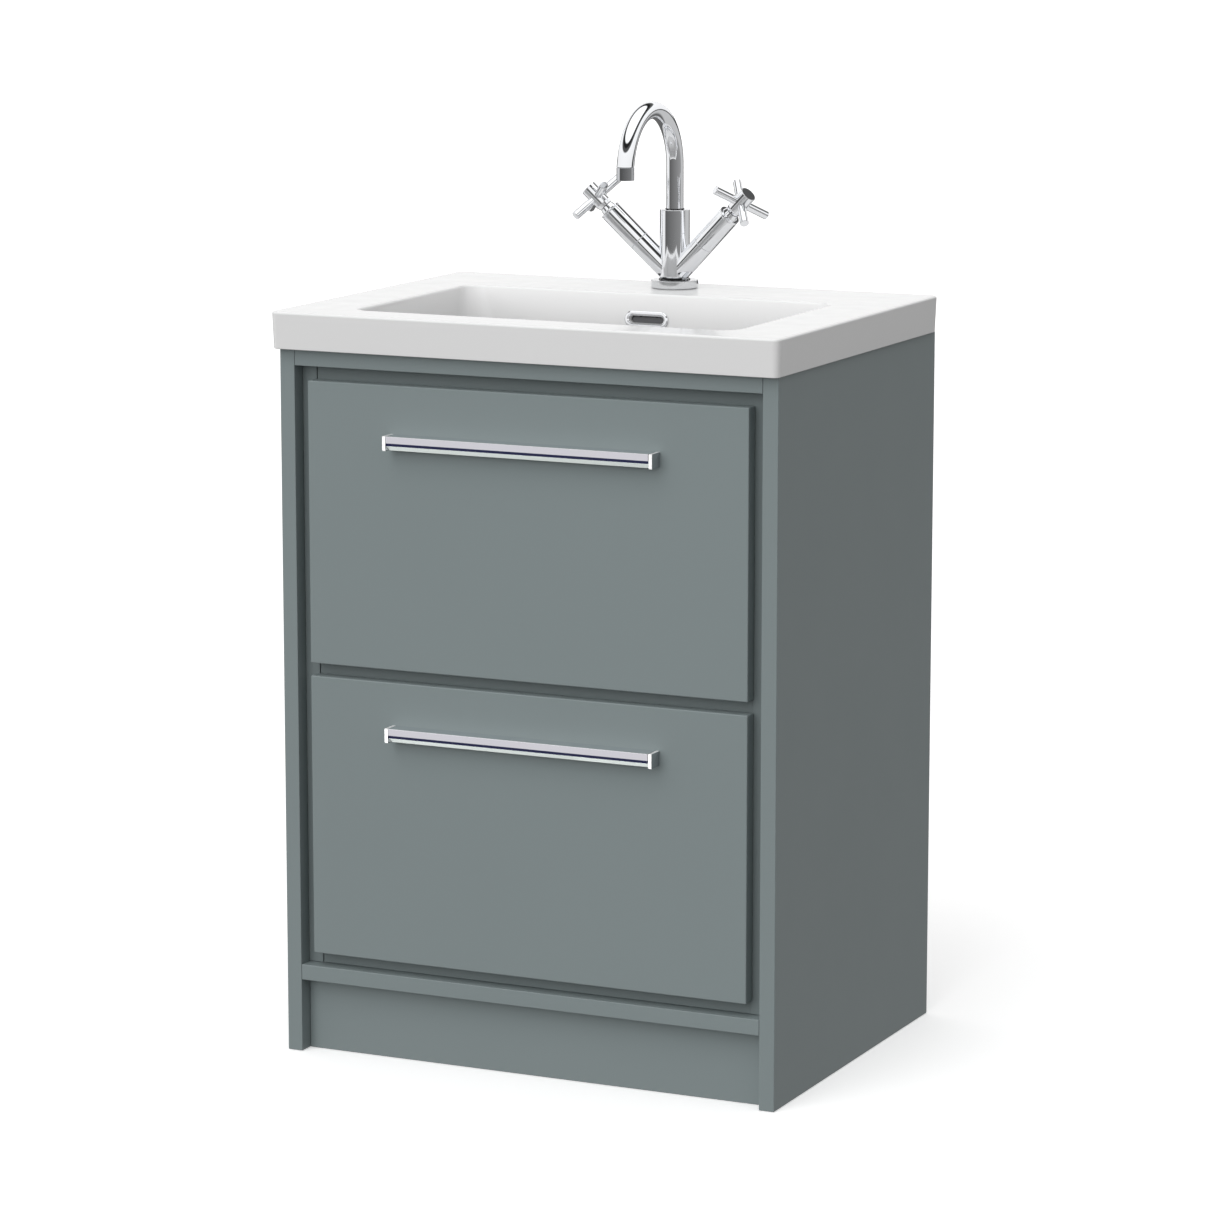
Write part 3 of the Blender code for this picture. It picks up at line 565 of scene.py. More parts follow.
def make_tap():
    seat = Vector((0, TAP_Y, DECK_Z))
    flange = [
        (0.0150, 0.0003, 0), (TAP_BASE_RADIUS - 0.0007, 0.0003), (TAP_BASE_RADIUS, 0.0012),
        (TAP_BASE_RADIUS, TAP_BASE_HEIGHT), (0.0150, TAP_BASE_HEIGHT, 0),
    ]
    turned("tap_flange", flange, flange_chrome, "cabinet", "chrome_trim", seat, looped=True, radius=0.0007, segments=96,
           replaces=["tap_base"])
    sleeve = [
        (0.0080, -0.0420, 0), (0.0145, -0.0420), (0.0145, TAP_BASE_HEIGHT - 0.001, 0),
        (SLEEVE_RADIUS, TAP_BASE_HEIGHT + 0.004, 0.002),
        (SLEEVE_RADIUS, SLEEVE_TOP), (0.0112, SLEEVE_TOP), (0.0108, SLEEVE_TOP - 0.004, 0),
        (0.0080, SLEEVE_TOP - 0.004, 0),
    ]
    turned("tap_sleeve", sleeve, chrome, "cabinet", "chrome_trim", seat, looped=True, radius=0.0006, segments=96,
                  replaces=["tap_body"])
    seal = [(0.0172, TAP_BASE_HEIGHT + 0.0002), (0.0181, TAP_BASE_HEIGHT + 0.0002), (0.0181, TAP_BASE_HEIGHT + 0.0010),
            (0.0172, TAP_BASE_HEIGHT + 0.0010)]
    turned("tap_base_seal", seal, rubber, "cabinet", "trap_plastic", seat, looped=True, radius=0.0003, segments=72)
    threads = [(0.0135, -0.0418, 0)]
    for turn_number in range(12):
        z = -0.0410 + 0.0018 * turn_number
        threads += [(0.0150, z), (0.0162, z + 0.0009)]
    threads += [(0.0135, -0.0190, 0)]
    turned("tap_shank_thread", threads, steel, "cabinet", "runner_steel", seat, looped=True, radius=0.0002, segments=48)

    knot = seat + Vector((0, 0, ARM_START))
    for side, side_name, joint_body in ((-1, "left", "hot_handle"), (1, "right", "cold_handle")):
        turn = arm_turn(side)
        lower = [(ARM_RADIUS, 0.002, 0), (ARM_RADIUS, ARM_SEAM - 0.0001), (ARM_RADIUS - 0.0006, ARM_SEAM + 0.0002)]
        turned(f"tap_arm_{side_name}", lower, chrome, "cabinet", "chrome_trim", knot, turn, radius=0.0003, segments=80)
        bonnet = [
            (ARM_RADIUS - 0.0006, ARM_SEAM + 0.0002, 0), (ARM_RADIUS, ARM_SEAM + 0.0006),
            (ARM_RADIUS, ARM_END - 0.0030),
            (ARM_RADIUS - 0.0007, ARM_END - 0.0025), (ARM_RADIUS - 0.0007, ARM_END - 0.0020),
            (ARM_RADIUS, ARM_END - 0.0015),
            (ARM_RADIUS, ARM_END), (0.0096, ARM_END), (0.0092, ARM_END + 0.0010), (0.0080, ARM_END + 0.0056),
            (0.0050, ARM_END + 0.0058, 0),
        ]
        turned(f"tap_bonnet_cap_{side_name}", bonnet, chrome, "cabinet", "chrome_trim", knot, turn, radius=0.0003,
               segments=80, replaces=[f"tap_bonnet_{side_name}"])
        hub = [
            (0.0040, HUB_LOW, 0), (0.0078, HUB_LOW), (HUB_RADIUS, HUB_LOW + 0.0045), (HUB_RADIUS, HUB_HIGH),
            (0.0010, HUB_HIGH, 0),
        ]
        edit = lathe(soften(hub, 0.0005), 64)
        for angle in (pi / 4, 3 * pi / 4):
            spoke = [
                (0.0010, -SPOKE_LENGTH, 0), (SPOKE_RADIUS, -SPOKE_LENGTH), (SPOKE_RADIUS, SPOKE_LENGTH),
                (0.0010, SPOKE_LENGTH, 0),
            ]
            rod = lathe(soften(spoke, 0.0009, steps=5), 40)
            rod.transform(Matrix.Translation((0, 0, SPOKE_AT)) @ Matrix.Rotation(angle, 4, "Z")
                          @ Matrix.Rotation(pi / 2, 4, "Y"))
            join(edit, rod)
        piece(f"tap_cross_handle_{side_name}", edit, chrome, joint_body,
              [f"tap_handle_{side_name}"], knot, turn)

    make_spout(seat)

    top = -DECK - 0.0003
    hexagon = [Vector((0.0255 * cos(pi / 3 * i), 0.0255 * sin(pi / 3 * i))) for i in range(6)]
    nut = extrude(soften(hexagon, 0.003, closed=True), top - 0.009, top - 0.0015, 0.0008)
    piece("tap_nut_hex", nut, steel, "cabinet", ["tap_back_nut"], seat)
    washer = [(0.0155, top - 0.0014), (0.0290, top - 0.0014), (0.0290, top), (0.0155, top)]
    turned("tap_nut_washer", washer, rubber, "cabinet", "trap_plastic", seat, looped=True, radius=0.0004)


def join(edit, other):
    """Adds another bmesh's faces to one, and frees it."""
    mesh = bpy.data.meshes.new("joined")
    other.to_mesh(mesh)
    other.free()
    edit.from_mesh(mesh)
    bpy.data.meshes.remove(mesh)


def make_spout(seat):
    """The swan-neck tube, swept along its centre line, with the aerator in its end."""
    reach = -2 * SPOUT_BEND
    stations = [(0.0, SLEEVE_TOP + 0.0003, 0.0), (0.0, SPOUT_SPRING, 0.0)]
    steps = 48
    for i in range(1, steps + 1):
        angle = pi * i / steps
        height = SPOUT_SPRING + SPOUT_BEND * sin(angle)
        if angle > pi / 2 and height < AERATOR_HIGH + 0.002:
            break
        stations.append((SPOUT_BEND * (cos(angle) - 1), height, angle))
    stations.append((reach, AERATOR_HIGH + 0.0003, pi))

    def section(radius, y, z, angle):
        turn = Matrix.Rotation(angle, 3, "X")
        return [Vector((0, y, z)) + turn @ p for p in circle(radius, 0.0, 48)]

    outside = [section(SPOUT_RADIUS, *s) for s in stations]
    bore = [section(SPOUT_BORE, *s) for s in reversed(stations)]
    piece("spout_tube", loft(outside + bore, looped=True), chrome, "tap_spout", ["spout"], seat)

    ring = [(0.0099, SLEEVE_TOP + 0.0001), (0.0110, SLEEVE_TOP + 0.0001), (0.0108, SLEEVE_TOP + 0.0011),
            (0.0099, SLEEVE_TOP + 0.0013)]
    turned("spout_seal", ring, rubber, "tap_spout", "trap_plastic", seat, looped=True, radius=0.0003, segments=56)

    end = seat + Vector((0, reach, 0))
    low, high = AERATOR_LOW, AERATOR_HIGH
    shell = [
        (0.0082, low, 0.0002), (SPOUT_RADIUS, low), (SPOUT_RADIUS, high - 0.0004), (SPOUT_RADIUS - 0.0005, high),
        (0.0070, high, 0), (0.0078, low + 0.002, 0),
    ]
    turned("aerator_shell", shell, shaded_chrome, "tap_spout", "chrome_trim", end, looped=True, radius=0.0005,
           segments=72,
           replaces=["aerator"])
    insert = [(0.0005, low + 0.0012, 0), (0.0076, low + 0.0012), (0.0076, low + 0.0030), (0.0005, low + 0.0030, 0)]
    turned("aerator_insert", insert, grey_plastic, "tap_spout", "trap_plastic", end, radius=0.0003, segments=40)
    mesh_edit = bmesh.new()
    pitch = 0.0017
    for i in range(-3, 4):
        for j in range(-3, 4):
            x, y = pitch * (i + 0.5 * (j % 2)), pitch * 0.87 * j
            if x * x + y * y < 0.0062 ** 2:
                stud = lathe([(0.00055, low + 0.0007), (0.00062, low + 0.0013)], 6)
                stud.transform(Matrix.Translation((x, y, 0)))
                join(mesh_edit, stud)
    piece("aerator_mesh", mesh_edit, grey_plastic, "tap_spout", at=end)


# ---------------------------------------------------------------- handles


def make_handle(name, body):
    """A pull folded from sheet: flat above, a lip sloping back below, hollow behind, with a cap at each end."""
    low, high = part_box(name)
    depth, height = high.y - low.y, high.z - low.z
    half = (high.x - low.x) / 2
    wall = HANDLE_WALL
    seat = Vector(((low.x + high.x) / 2, high.y, high.z))
    fold, line = 0.0009, HANDLE_FLAT + 0.0031
    outer = [(0, 0), (-depth, 0, 0.0007), (-depth, -HANDLE_FLAT, 0.0002), (fold - depth, -HANDLE_FLAT - 0.0003, 0.0002),
             (fold - depth, -HANDLE_FLAT - 0.0029, 0.0002), (0.0007 - depth, -HANDLE_FLAT - 0.0032, 0.0002),
             (-HANDLE_LIP, -height, 0.0006)]
    inner = [(-HANDLE_LIP + 1.25 * wall, -height + 0.0003, 0.0003), (wall - depth + fold, -HANDLE_FLAT, 0.0006),
             (wall - depth + fold, -wall, 0.001), (0, -wall)]
    outline = soften(outer + inner, 0.0003, closed=True)
    along_x = Matrix(((0, 0, 1), (1, 0, 0), (0, 1, 0)))
    inside = half - HANDLE_END - 0.0003
    made = piece(f"{name}_profile", extrude(outline, -inside, inside), chrome, body, [name], seat,
                 along_x,
                 crease=24)
    # Painted light on the profile: the fold line's faces take the near-black chrome as painted dark reflection and
    # shade, and the lip's front faces take the pale copy as painted reflection.
    made.data.materials.append(fold_shade_chrome)
    made.data.materials.append(lip_reflection_chrome)
    for face in made.data.polygons:
        back, drop = face.center.y - low.y, high.z - face.center.z
        if drop > HANDLE_FLAT + 0.0001 and back < fold + 0.0002 and drop < line:
            face.material_index = 1
        elif drop > line and face.normal.y < -0.3:
            face.material_index = 2
    cap = [(0, 0), (-depth, 0, 0.0012), (-depth, -height, 0.0020), (0, -height, 0.0008)]
    cap_outline = soften(cap, 0.0004, closed=True)
    pieces = [made]
    for side, side_name in ((-1, "left"), (1, "right")):
        ends = sorted((side * (half - HANDLE_END), side * half))
        edit = extrude(cap_outline, *ends, 0.0007)
        cap = piece(f"{name}_cap_{side_name}", edit, cap_glint_chrome, body, (), seat, along_x, crease=24)
        # The caps' front faces are painted near-white as a bright reflection; their end faces take the darker chrome as
        # painted shade.
        cap.data.materials.append(shaded_chrome)
        for face in cap.data.polygons:
            if abs(face.normal.x) > 0.7:
                face.material_index = 1
        pieces.append(cap)
    return pieces


# ---------------------------------------------------------------- fixings


def screw_head(radius, height):
    """A pan head with a four-lobed recess, its seat at zero and facing +Z."""
    segments = 32
    recess = 0.24 * radius
    rings = [
        circle(radius, 0.0, segments), circle(radius, 0.35 * height, segments),
        circle(0.93 * radius, 0.7 * height, segments),
        circle(0.78 * radius, height, segments), circle(0.52 * radius, height, segments, 4, recess),
        circle(0.42 * radius, 0.35 * height, segments, 4, recess),
    ]
    return loft(rings)


def screws(name, places, towards, body, radius=0.0040, height=0.0016):
    """A set of screw heads as one piece, all facing the same way."""
    edit = bmesh.new()
    turn = Vector(towards).to_track_quat("Z", "Y").to_matrix().to_4x4()
    for number, place in enumerate(places):
        head = screw_head(radius, height)
        spin = Matrix.Rotation(0.7 * number, 4, "Z")
        head.transform(Matrix.Translation(place) @ turn @ spin)
        join(edit, head)
    return piece(name, edit, steel, body)


def fluted_nut(name, inner, outer, low, high, finish, at, turn=None, replaces=(), lobes=16, depth=0.0016):
    """A hand-tightened plastic nut: a plain collar at each end and flutes between them."""
    segments = lobes * 6
    length = high - low
    rings = []
    for share, inset, fluted in ((0.0, 0.0012, 0), (0.06, 0.0003, 0), (0.16, 0.0, 0), (0.22, 0.0, 1), (0.84, 0.0, 1),
                                 (0.90, 0.0003, 0), (0.97, 0.0006, 0), (1.0, 0.0016, 0)):
        rings.append(circle(outer - inset, low + share * length, segments, lobes if fluted else 0, depth))
    rings.append(circle(inner + 0.0005, high, segments))
    rings.append(circle(inner, high - 0.0005, segments))
    rings.append(circle(inner, low, segments))
    return piece(name, loft(rings, looped=True), finish, "cabinet", replaces, at, turn)


# ---------------------------------------------------------------- waste and trap


def make_waste():
    at = (0, WASTE_Y, 0)
    seat = BOWL_FLOOR_Z + 0.0003
    flange = [
        (0.0180, 0.6905, 0), (0.0220, 0.6905), (0.0220, seat, 0), (0.0312, seat), (0.0315, seat + 0.0010),
        (0.0288, seat + 0.0026), (0.0215, seat + 0.0026), (0.0196, seat + 0.0010), (0.0180, seat - 0.0006),
    ]
    turned("waste_flange_ring", flange, chrome, "cabinet", "chrome_trim", at, looped=True, radius=0.0006, segments=80,
           replaces=["waste_flange"])
    cap = seat + 0.0105
    plug = [
        (0.0003, 0.6950, 0), (0.0045, 0.6950), (0.0045, cap - 0.0030), (0.0060, cap - 0.0006), (0.0285, cap - 0.0001),
        (0.0290, cap + 0.0012), (0.0272, cap + 0.0028), (0.0200, cap + 0.0039), (0.0110, cap + 0.0044),
        (0.0003, cap + 0.0045, 0),
    ]
    turned("waste_plug_cap", plug, chrome, "waste_plug", "chrome_trim", at, radius=0.0012, segments=80,
           replaces=["waste_plug"])
    seal = [(0.0150, cap - 0.0020), (0.0172, cap - 0.0018), (0.0174, cap - 0.0003), (0.0148, cap - 0.0003)]
    turned("waste_plug_seal", seal, rubber, "waste_plug", "trap_plastic", at, looped=True, radius=0.0004, segments=64)

    fluted_nut("waste_back_nut", 0.0223, 0.0320, 0.7000, BOWL_UNDERSIDE_Z - 0.0020, white_plastic, at,
               replaces=["waste_nut"], lobes=12, depth=0.0026)
    gasket = [(0.0225, BOWL_UNDERSIDE_Z - 0.0018), (0.0330, BOWL_UNDERSIDE_Z - 0.0018),
              (0.0330, BOWL_UNDERSIDE_Z - 0.0002),
              (0.0225, BOWL_UNDERSIDE_Z - 0.0002)]
    turned("waste_gasket", gasket, rubber, "cabinet", "trap_plastic", at, looped=True, radius=0.0005, segments=64)
    tail = [(0.0135, 0.622, 0), (0.0160, 0.622), (0.0160, 0.678, 0.002), (0.0220, 0.682, 0.001), (0.0220, 0.6902),
            (0.0135, 0.6902, 0)]
    turned("waste_tail_pipe", tail, chrome, "cabinet", "chrome_trim", at, looped=True, radius=0.0005, segments=64,
           replaces=["waste_tail"])

    fluted_nut("trap_inlet_nut", 0.0198, 0.0265, 0.6080, 0.6340, white_plastic, at, replaces=["trap_nut"])
    bottle = [
        (0.0270, 0.5460, 0), (0.0300, 0.5460), (0.0300, 0.5480, 0.0004), (0.0292, 0.5490, 0.0004),
        (0.0292, 0.5940, 0.004),
        (0.0195, 0.6060, 0.004), (0.0195, 0.6200), (0.0160, 0.6200), (0.0160, 0.6050, 0), (0.0265, 0.5940, 0),
    ]
    turned("trap_bottle_shell", bottle, white_plastic, "cabinet", "trap_plastic", at, looped=True, radius=0.0006,
           segments=80,
           replaces=["trap_bottle"])
    along_y = Matrix.Rotation(-pi / 2, 3, "X")
    spigot_at = (0, WASTE_Y, 0.585)
    spigot = [(0.0080, 0.0262, 0), (0.0130, 0.0262, 0), (0.0112, 0.0320, 0.002), (0.0105, 0.0340, 0.002),
              (0.0105, 0.0600), (0.0080, 0.0600, 0)]
    turned("trap_spigot", spigot, white_plastic, "cabinet", "trap_plastic", spigot_at, along_y, looped=True,
           radius=0.0004,
           segments=48)
    cup = [(0.0010, 0.5052, 0), (0.0180, 0.5050, 0.003), (0.0300, 0.5078, 0.003), (0.0300, 0.5100, 0)]
    cup_edit = lathe(soften(cup, 0.002), 96)
    lobed = [(0.0300, 0.5100, 0), (0.0320, 0.5130, 1), (0.0320, 0.5400, 1), (0.0320, 0.5440, 0), (0.0312, 0.5457, 0),
             (0.0265, 0.5457, 0), (0.0265, 0.5105, 0)]
    rings = [circle(r, z, 96, 16 if fluted else 0, 0.0016) for r, z, fluted in lobed]
    join(cup_edit, loft(rings, looped=True))
    piece("trap_cup_shell", cup_edit, white_plastic, "cabinet", ["trap_cup"], at)
    fluted_nut("trap_outlet_nut", 0.0108, 0.0180, 0.0480, 0.0740, white_plastic, spigot_at, along_y,
               replaces=["outlet_nut"],
               lobes=12, depth=0.0014)
    length = BACK - WASTE_Y
    pipe = [(0.0080, 0.0603, 0), (0.0105, 0.0603), (0.0105, 0.1150), (0.0111, 0.1156), (0.0111, 0.1176),
            (0.0105, 0.1182),
            (0.0105, length), (0.0080, length, 0)]
    turned("waste_outlet_pipe", pipe, white_plastic, "cabinet", "trap_plastic", spigot_at, along_y, looped=True,
           radius=0.0003, segments=56, replaces=["waste_pipe"])


# ---------------------------------------------------------------- boards


def make_boards():
    """The flat boards again, with finely rounded edges; the shaped ones keep their CAD nodes."""
    edged = {
        "side_panel_left": (paint, 0.0008), "side_panel_right": (paint, 0.0008), "plinth": (paint, 0.0008),
        "top_rail": (paint, 0.0008), "carcass_floor": (paint, 0.0008),
        "upper_drawer_front": (paint, 0.0013), "lower_drawer_front": (paint, 0.0013),
        # The carcass sides and cross rails behind the fronts take the darkened paint, a painted shade.
        "carcass_side_left": (shaded_carcass_paint, 0.0005), "carcass_side_right": (shaded_carcass_paint, 0.0005),
        "upper_cross_rail": (shaded_carcass_paint, 0.0005), "middle_cross_rail": (shaded_carcass_paint, 0.0005),
        "lower_cross_rail": (shaded_carcass_paint, 0.0005),
    }
    for name in nodes:
        if "_box_" in name and not name.endswith(("recess", "base")):
            edged[name] = (melamine, 0.0006)
    for name, (finish, edge) in edged.items():
        piece(f"{name}_board", slab(*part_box(name), edge), finish, body_of(name), [name])

    for name in ("back_panel", "back_rail"):
        low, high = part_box(name)
        made = piece(f"{name}_board", slab(low, high, 0.0005), shaded_carcass_paint, "cabinet", [name])
        margin, rise = 0.040, 0.014
        columns = [low.x + margin + (high.x - low.x - 2 * margin) * share for share in (0, 0.33, 0.67, 1)]
        rows = [low.z + rise, high.z - rise]
        pits = bmesh.new()
        places = []
        for x in columns:
            for z in rows:
                pit = lathe([(0.0020, 0.0), (0.0020, 0.0040), (0.0052, 0.0072), (0.0052, 0.0090)], 32)
                pit.transform(Matrix.Translation((x, high.y - 0.0070, z)) @ Matrix.Rotation(-pi / 2, 4, "X"))
                join(pits, pit)
                places.append((x, high.y - 0.0016, z))
        subtract(made, pits, f"{name}_pits")
        screws(f"{name}_screws", places, (0, 1, 0), "cabinet", 0.0040, 0.0012)


def make_drawer_fittings():
    """Fixing screws and adjuster caps on the inner face of each box front, and bumpers where the fronts close."""
    facing_back = Matrix.Rotation(-pi / 2, 4, "X")
    for drawer in ("upper", "lower"):
        body = f"{drawer}_drawer"
        low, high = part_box(f"{drawer}_box_front")
        heights = (low.z + 0.035, high.z - 0.035)
        places = [(x, high.y + 0.0001, z) for x in (-0.200, -0.080, 0.080, 0.200) for z in heights]
        screws(f"{drawer}_front_screws", places, (0, 1, 0), body)
        edit = bmesh.new()
        profile = soften([(0.0005, 0.0030, 0), (0.0060, 0.0030), (0.0105, 0.0018), (0.0110, 0.0), (0.0005, 0.0, 0)],
                         0.0006)
        for x in (-0.140, 0.140):
            cap = lathe(profile, 40)
            cap.transform(Matrix.Translation((x, high.y + 0.0001, (low.z + high.z) / 2)) @ facing_back)
            join(edit, cap)
        piece(f"{drawer}_adjuster_caps", edit, grey_plastic, body)

        front_low, front_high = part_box(f"{drawer}_drawer_front")
        edit = bmesh.new()
        profile = soften([(0.0003, 0.0, 0), (0.0040, 0.0, 0), (0.0036, 0.0012), (0.0003, 0.0015, 0)], 0.0005)
        for x in (-0.245, 0.245):
            for z in (front_low.z + 0.0065, front_high.z - 0.0085):
                dome = lathe(profile, 24)
                dome.transform(Matrix.Translation((x, front_high.y, z)) @ facing_back)
                join(edit, dome)
        piece(f"{drawer}_front_bumpers", edit, grey_plastic, body)


def make_runner_fittings():
    """Ball cages between the fixed rail and the floating slider, and a buffer at each rail's back end."""
    for drawer in ("upper", "lower"):
        for side, side_name in ((-1, "left"), (1, "right")):
            rail_low, rail_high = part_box(f"{drawer}_rail_{side_name}")
            slider_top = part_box(f"{drawer}_slider_{side_name}")[1].z
            middle_z = (rail_low.z + rail_high.z) / 2
            x = side * 0.2585
            edit = bmesh.new()
            reach = slider_top - middle_z
            row = (reach + rail_high.z - middle_z - 0.0012) / 2
            for up in (-1, 1):
                strip_low = min(up * (reach + 0.0003), up * (reach + 0.0009)) + middle_z
                strip_high = strip_low + 0.0006
                corners = (x - 0.0018, rail_low.y + 0.012, strip_low), (x + 0.0018, rail_low.y + 0.150, strip_high)
                join(edit, slab(*corners, 0.0002))
                for number in range(11):
                    ball = bmesh.new()
                    bmesh.ops.create_icosphere(ball, subdivisions=2, radius=0.0018)
                    ball.transform(Matrix.Translation((x, rail_low.y + 0.018 + 0.0125 * number, middle_z + up * row)))
                    join(edit, ball)
            piece(f"{drawer}_ball_cage_{side_name}", edit, steel, f"{drawer}_sliders")

            catch = slab((-0.0030, 0.0, -0.0060), (0.0, 0.010, 0.0060), 0.0008)
            inner = side * 0.2620
            turn = Matrix.Translation((inner, rail_high.y - 0.0105, middle_z)) @ Matrix.Diagonal((side, 1, 1, 1))
            catch.transform(turn)
            piece(f"{drawer}_rail_buffer_{side_name}", catch, grey_plastic, "cabinet")


def make_brackets():
    """Steel angles that tie the back rail to the carcass sides."""
    rail_low, rail_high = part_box("back_rail")
    for side, side_name in ((-1, "left"), (1, "right")):
        inner = side * 0.2638
        leg, thickness, height = 0.034, 0.0020, 0.030
        outline = soften([(0, 0), (leg, 0, 0.001), (leg, thickness, 0.001), (thickness, thickness, 0.002),
                          (thickness, leg, 0.001), (0, leg, 0.001)], 0.0015, closed=True)
        edit = extrude(outline, 0.0, height, 0.0004)
        face = rail_low.y - 0.0002
        edit.transform(Matrix.Translation((inner, face, rail_high.z - 0.050)) @ Matrix.Diagonal((-side, -1, 1, 1)))
        piece(f"wall_angle_{side_name}", edit, steel, "cabinet")
        z = rail_high.z - 0.050 + height / 2
        on_side = inner - side * thickness, rail_low.y - 0.022, z
        on_rail = inner - side * 0.022, face - thickness, z
        screws(f"wall_angle_side_screw_{side_name}", [on_side], (-side, 0, 0), "cabinet")
        screws(f"wall_angle_rail_screw_{side_name}", [on_rail], (0, -1, 0), "cabinet")


# ---------------------------------------------------------------- carried CAD nodes


def finish_nodes():
    """Gives the CAD nodes that still show their materials and finely rounded edges."""
    finishes = {
        melamine: ["upper_box_recess", "upper_box_base", "lower_box_base"],
        steel: [f"{drawer}_{channel}_{side}" for drawer in ("upper", "lower")
                for channel in ("rail", "slider", "member")
                for side in ("left", "right")],
    }
    for finish, names in finishes.items():
        for name in names:
            made = nodes[name]
            made.data.materials.clear()
            made.data.materials.append(finish)
            bevel = made.modifiers.new("Fine edges", "BEVEL")
            bevel.width = 0.0005 if finish is melamine else 0.0002
            bevel.segments = 2
            bevel.limit_method = "ANGLE"


# ---------------------------------------------------------------- studio


def soft_sun(name, towards, strength, softness):
    """An even light from a direction, given as a vector from the object."""
    data = bpy.data.lights.new(name, "SUN")
    data.energy = strength
    data.angle = softness
    made = bpy.data.objects.new(name, data)
    bpy.context.scene.collection.objects.link(made)
    made.rotation_euler = Vector(towards).to_track_quat("Z", "Y").to_euler()
    made.visible_glossy = False
    return made


def handle_card(name, at, aim, width, height, radiance, colour, lit):
    """A reflector card that only the handles see: an area light linked to them."""
    data = bpy.data.lights.new(name, "AREA")
    data.shape = "RECTANGLE"
    data.size, data.size_y = width, height
    data.energy = radiance * pi * width * height
    data.color = colour
    made = bpy.data.objects.new(name, data)
    bpy.context.scene.collection.objects.link(made)
    made.location = at
    made.rotation_euler = (Vector(at) - Vector(aim)).to_track_quat("Z", "Y").to_euler()
    made.visible_camera = False
    made.light_linking.receiver_collection = lit
    return made


def make_world():
    """White to the camera, a softbox room to reflections, and a grey that brightens upwards to everything else."""
    world = bpy.data.worlds.new("Studio")
    bpy.context.scene.world = world
    world.use_nodes = True
    tree = world.node_tree
    tree.nodes.clear()
    output = tree.nodes.new("ShaderNodeOutputWorld")
    path = tree.nodes.new("ShaderNodeLightPath")
    fill = tree.nodes.new("ShaderNodeBackground")
    fill.inputs["Color"].default_value = (1, 1, 1, 1)
    white = tree.nodes.new("ShaderNodeBackground")
    white.inputs["Color"].default_value = (1, 1, 1, 1)
    white.inputs["Strength"].default_value = 1.05

    place = tree.nodes.new("ShaderNodeTexCoord")
    split = tree.nodes.new("ShaderNodeSeparateXYZ")
    tree.links.new(place.outputs["Generated"], split.inputs["Vector"])
    tree.links.new(remap(tree, split.outputs["Z"], 0, 1, 0.165, 0.97), fill.inputs["Strength"])
    turn = tree.nodes.new("ShaderNodeMath")
    turn.operation = "ARCTAN2"
    tree.links.new(split.outputs["X"], turn.inputs[0])
    tree.links.new(remap(tree, split.outputs["Y"], -1, 1, 1, -1), turn.inputs[1])
    low = stops(tree, remap(tree, turn.outputs["Value"], -pi, pi, 0, 1), [
        (0.0, 0.14), (0.18, 0.14), (0.20, 1.0), (0.335, 1.0), (0.36, 0.12), (0.80, 0.34), (0.82, 0.6), (0.94, 0.6),
        (0.965, 0.14),
    ])
    high = stops(tree, remap(tree, split.outputs["Z"], -1, 1, 0, 1), [
        (0.48, 0.015), (0.515, 0.015), (0.53, 1.0), (0.745, 1.1), (0.765, 0.10), (0.80, 0.09), (0.82, 0.015),
        (0.855, 0.02),
        (0.875, 1.3),
    ])
    mixed = tree.nodes.new("ShaderNodeMix")
    mixed.data_type = "RGBA"
    tree.links.new(remap(tree, split.outputs["Z"], -0.045, -0.03, 0, 1), mixed.inputs["Factor"])
    tree.links.new(low, mixed.inputs["A"])
    tree.links.new(high, mixed.inputs["B"])
    room = tree.nodes.new("ShaderNodeBackground")
    room.inputs["Strength"].default_value = 1.0
    tree.links.new(mixed.outputs["Result"], room.inputs["Color"])

    first = tree.nodes.new("ShaderNodeMixShader")
    tree.links.new(path.outputs["Is Glossy Ray"], first.inputs["Fac"])
    tree.links.new(fill.outputs["Background"], first.inputs[1])
    tree.links.new(room.outputs["Background"], first.inputs[2])
    second = tree.nodes.new("ShaderNodeMixShader")
    tree.links.new(path.outputs["Is Camera Ray"], second.inputs["Fac"])
    tree.links.new(first.outputs["Shader"], second.inputs[1])
    tree.links.new(white.outputs["Background"], second.inputs[2])
    tree.links.new(second.outputs["Shader"], output.inputs["Surface"])


def stops(tree, source, values):
    """A grey colour ramp over a source from 0 to 1, from (position, value) stops."""
    node = tree.nodes.new("ShaderNodeValToRGB")
    tree.links.new(source, node.inputs["Fac"])
    elements = node.color_ramp.elements
    while len(elements) < len(values):
        elements.new(0.5)
    for element, (position, value) in zip(elements, values):
        element.position = position
        element.color = (value, value, value, 1)
    return node.outputs["Color"]


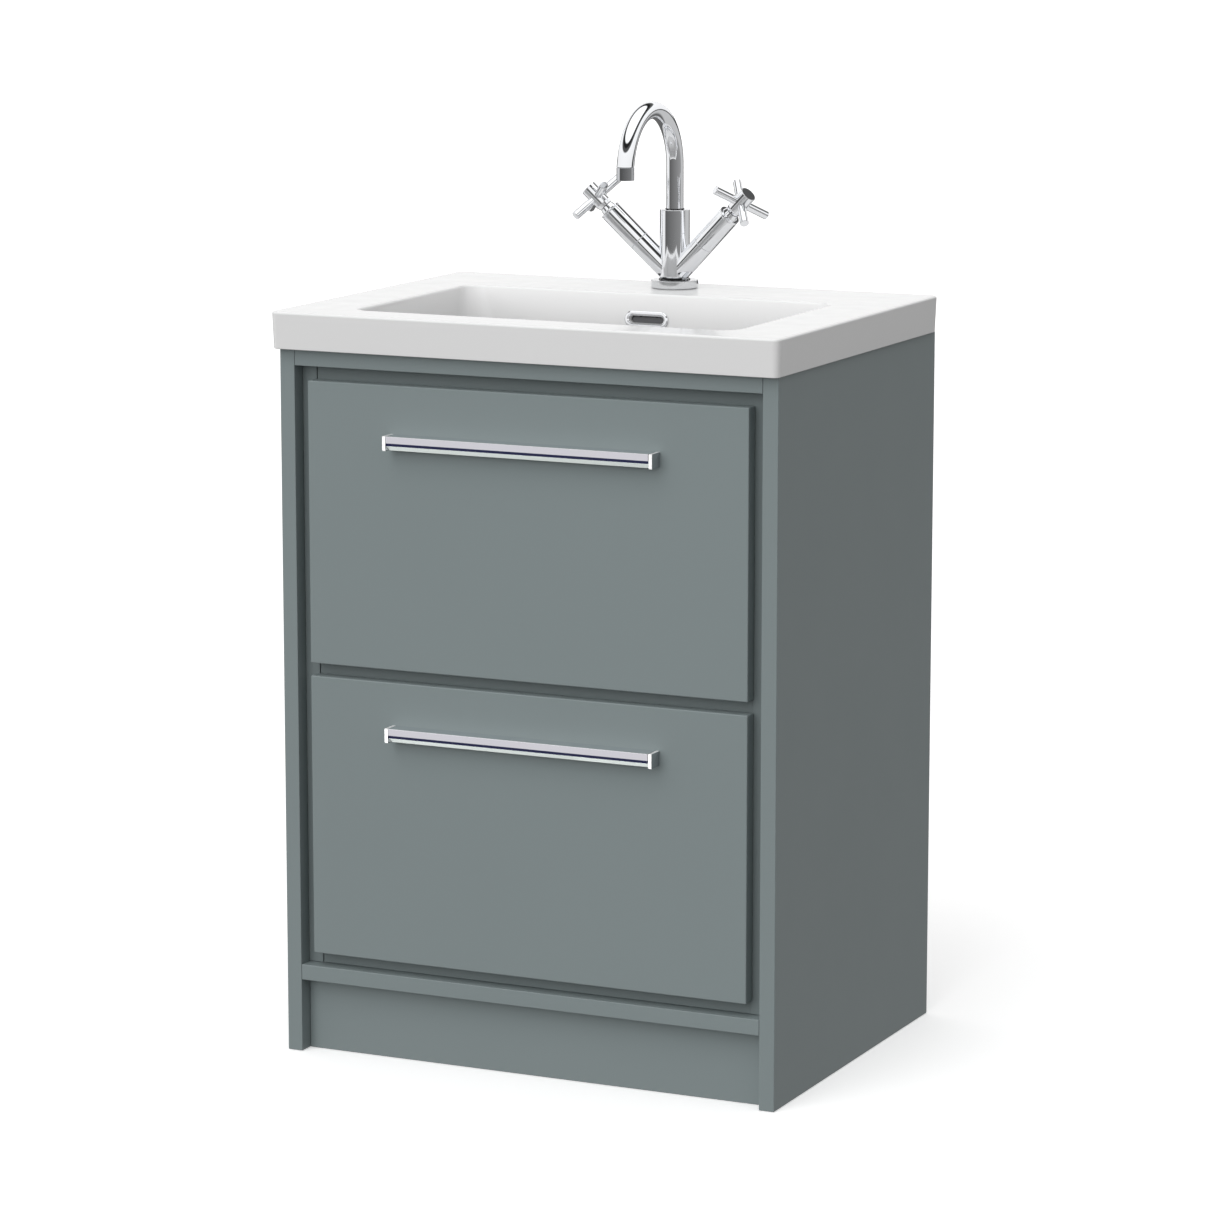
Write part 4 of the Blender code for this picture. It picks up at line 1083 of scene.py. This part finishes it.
def make_studio(handles):
    make_world()
    floor_edit = bmesh.new()
    bmesh.ops.create_grid(floor_edit, x_segments=8, y_segments=8, size=40.0)
    mesh = bpy.data.meshes.new("floor")
    floor_edit.to_mesh(mesh)
    floor_edit.free()
    floor = bpy.data.objects.new("floor", mesh)
    bpy.context.scene.collection.objects.link(floor)
    floor.location.z = -0.0005
    floor_look = Look("Pale floor", (0.92, 0.92, 0.92), 0.8)
    floor_look.tint(floor_look.noise(2.0, 2.0), 0.995, 1.005)
    floor_look.shader.inputs["Specular IOR Level"].default_value = 0.1
    floor_look.shader.inputs["Emission Color"].default_value = (1, 1, 1, 1)
    floor_look.shader.inputs["Emission Strength"].default_value = 0.35
    mesh.materials.append(floor_look.material)
    floor.visible_glossy = False
    floor.visible_diffuse = False

    soft_sun("key", (-0.14, -0.63, 0.77), 0.64, radians(40))
    soft_sun("front_fill", (-0.15, -0.97, 0.17), 1.30, radians(50))
    soft_sun("side_fill", (0.97, -0.15, 0.15), 0.05, radians(50))

    lit = bpy.data.collections.new("handles")
    for made in handles:
        lit.objects.link(made)
    handle_card("face_card", (-0.75, -1.7, 0.28), (0, FRONT, 0.55), 1.6, 0.9, 0.58, (0.97, 0.94, 1.0), lit)
    lip_card = handle_card("lip_card", (-0.2, -0.75, 0.02), (0, FRONT, 0.5), 1.6, 0.7, 3.2, (0.97, 1.0, 0.98), lit)
    lip_card.visible_glossy = False

    camera_data = bpy.data.cameras.new("camera")
    camera_data.lens = 138.23
    camera_data.sensor_width = 36
    camera = bpy.data.objects.new("camera", camera_data)
    bpy.context.scene.collection.objects.link(camera)
    camera.location = (2.2102, -4.7074, 1.4321)
    camera.rotation_euler = (radians(79.82), 0, radians(25.17))
    bpy.context.scene.camera = camera
    bpy.context.scene.view_settings.view_transform = "Standard"


make_basin()
make_tap()
make_waste()
make_boards()
make_drawer_fittings()
make_runner_fittings()
make_brackets()
handle_pieces = make_handle("upper_handle", "upper_drawer") + make_handle("lower_handle", "lower_drawer")
finish_nodes()
make_studio(handle_pieces)
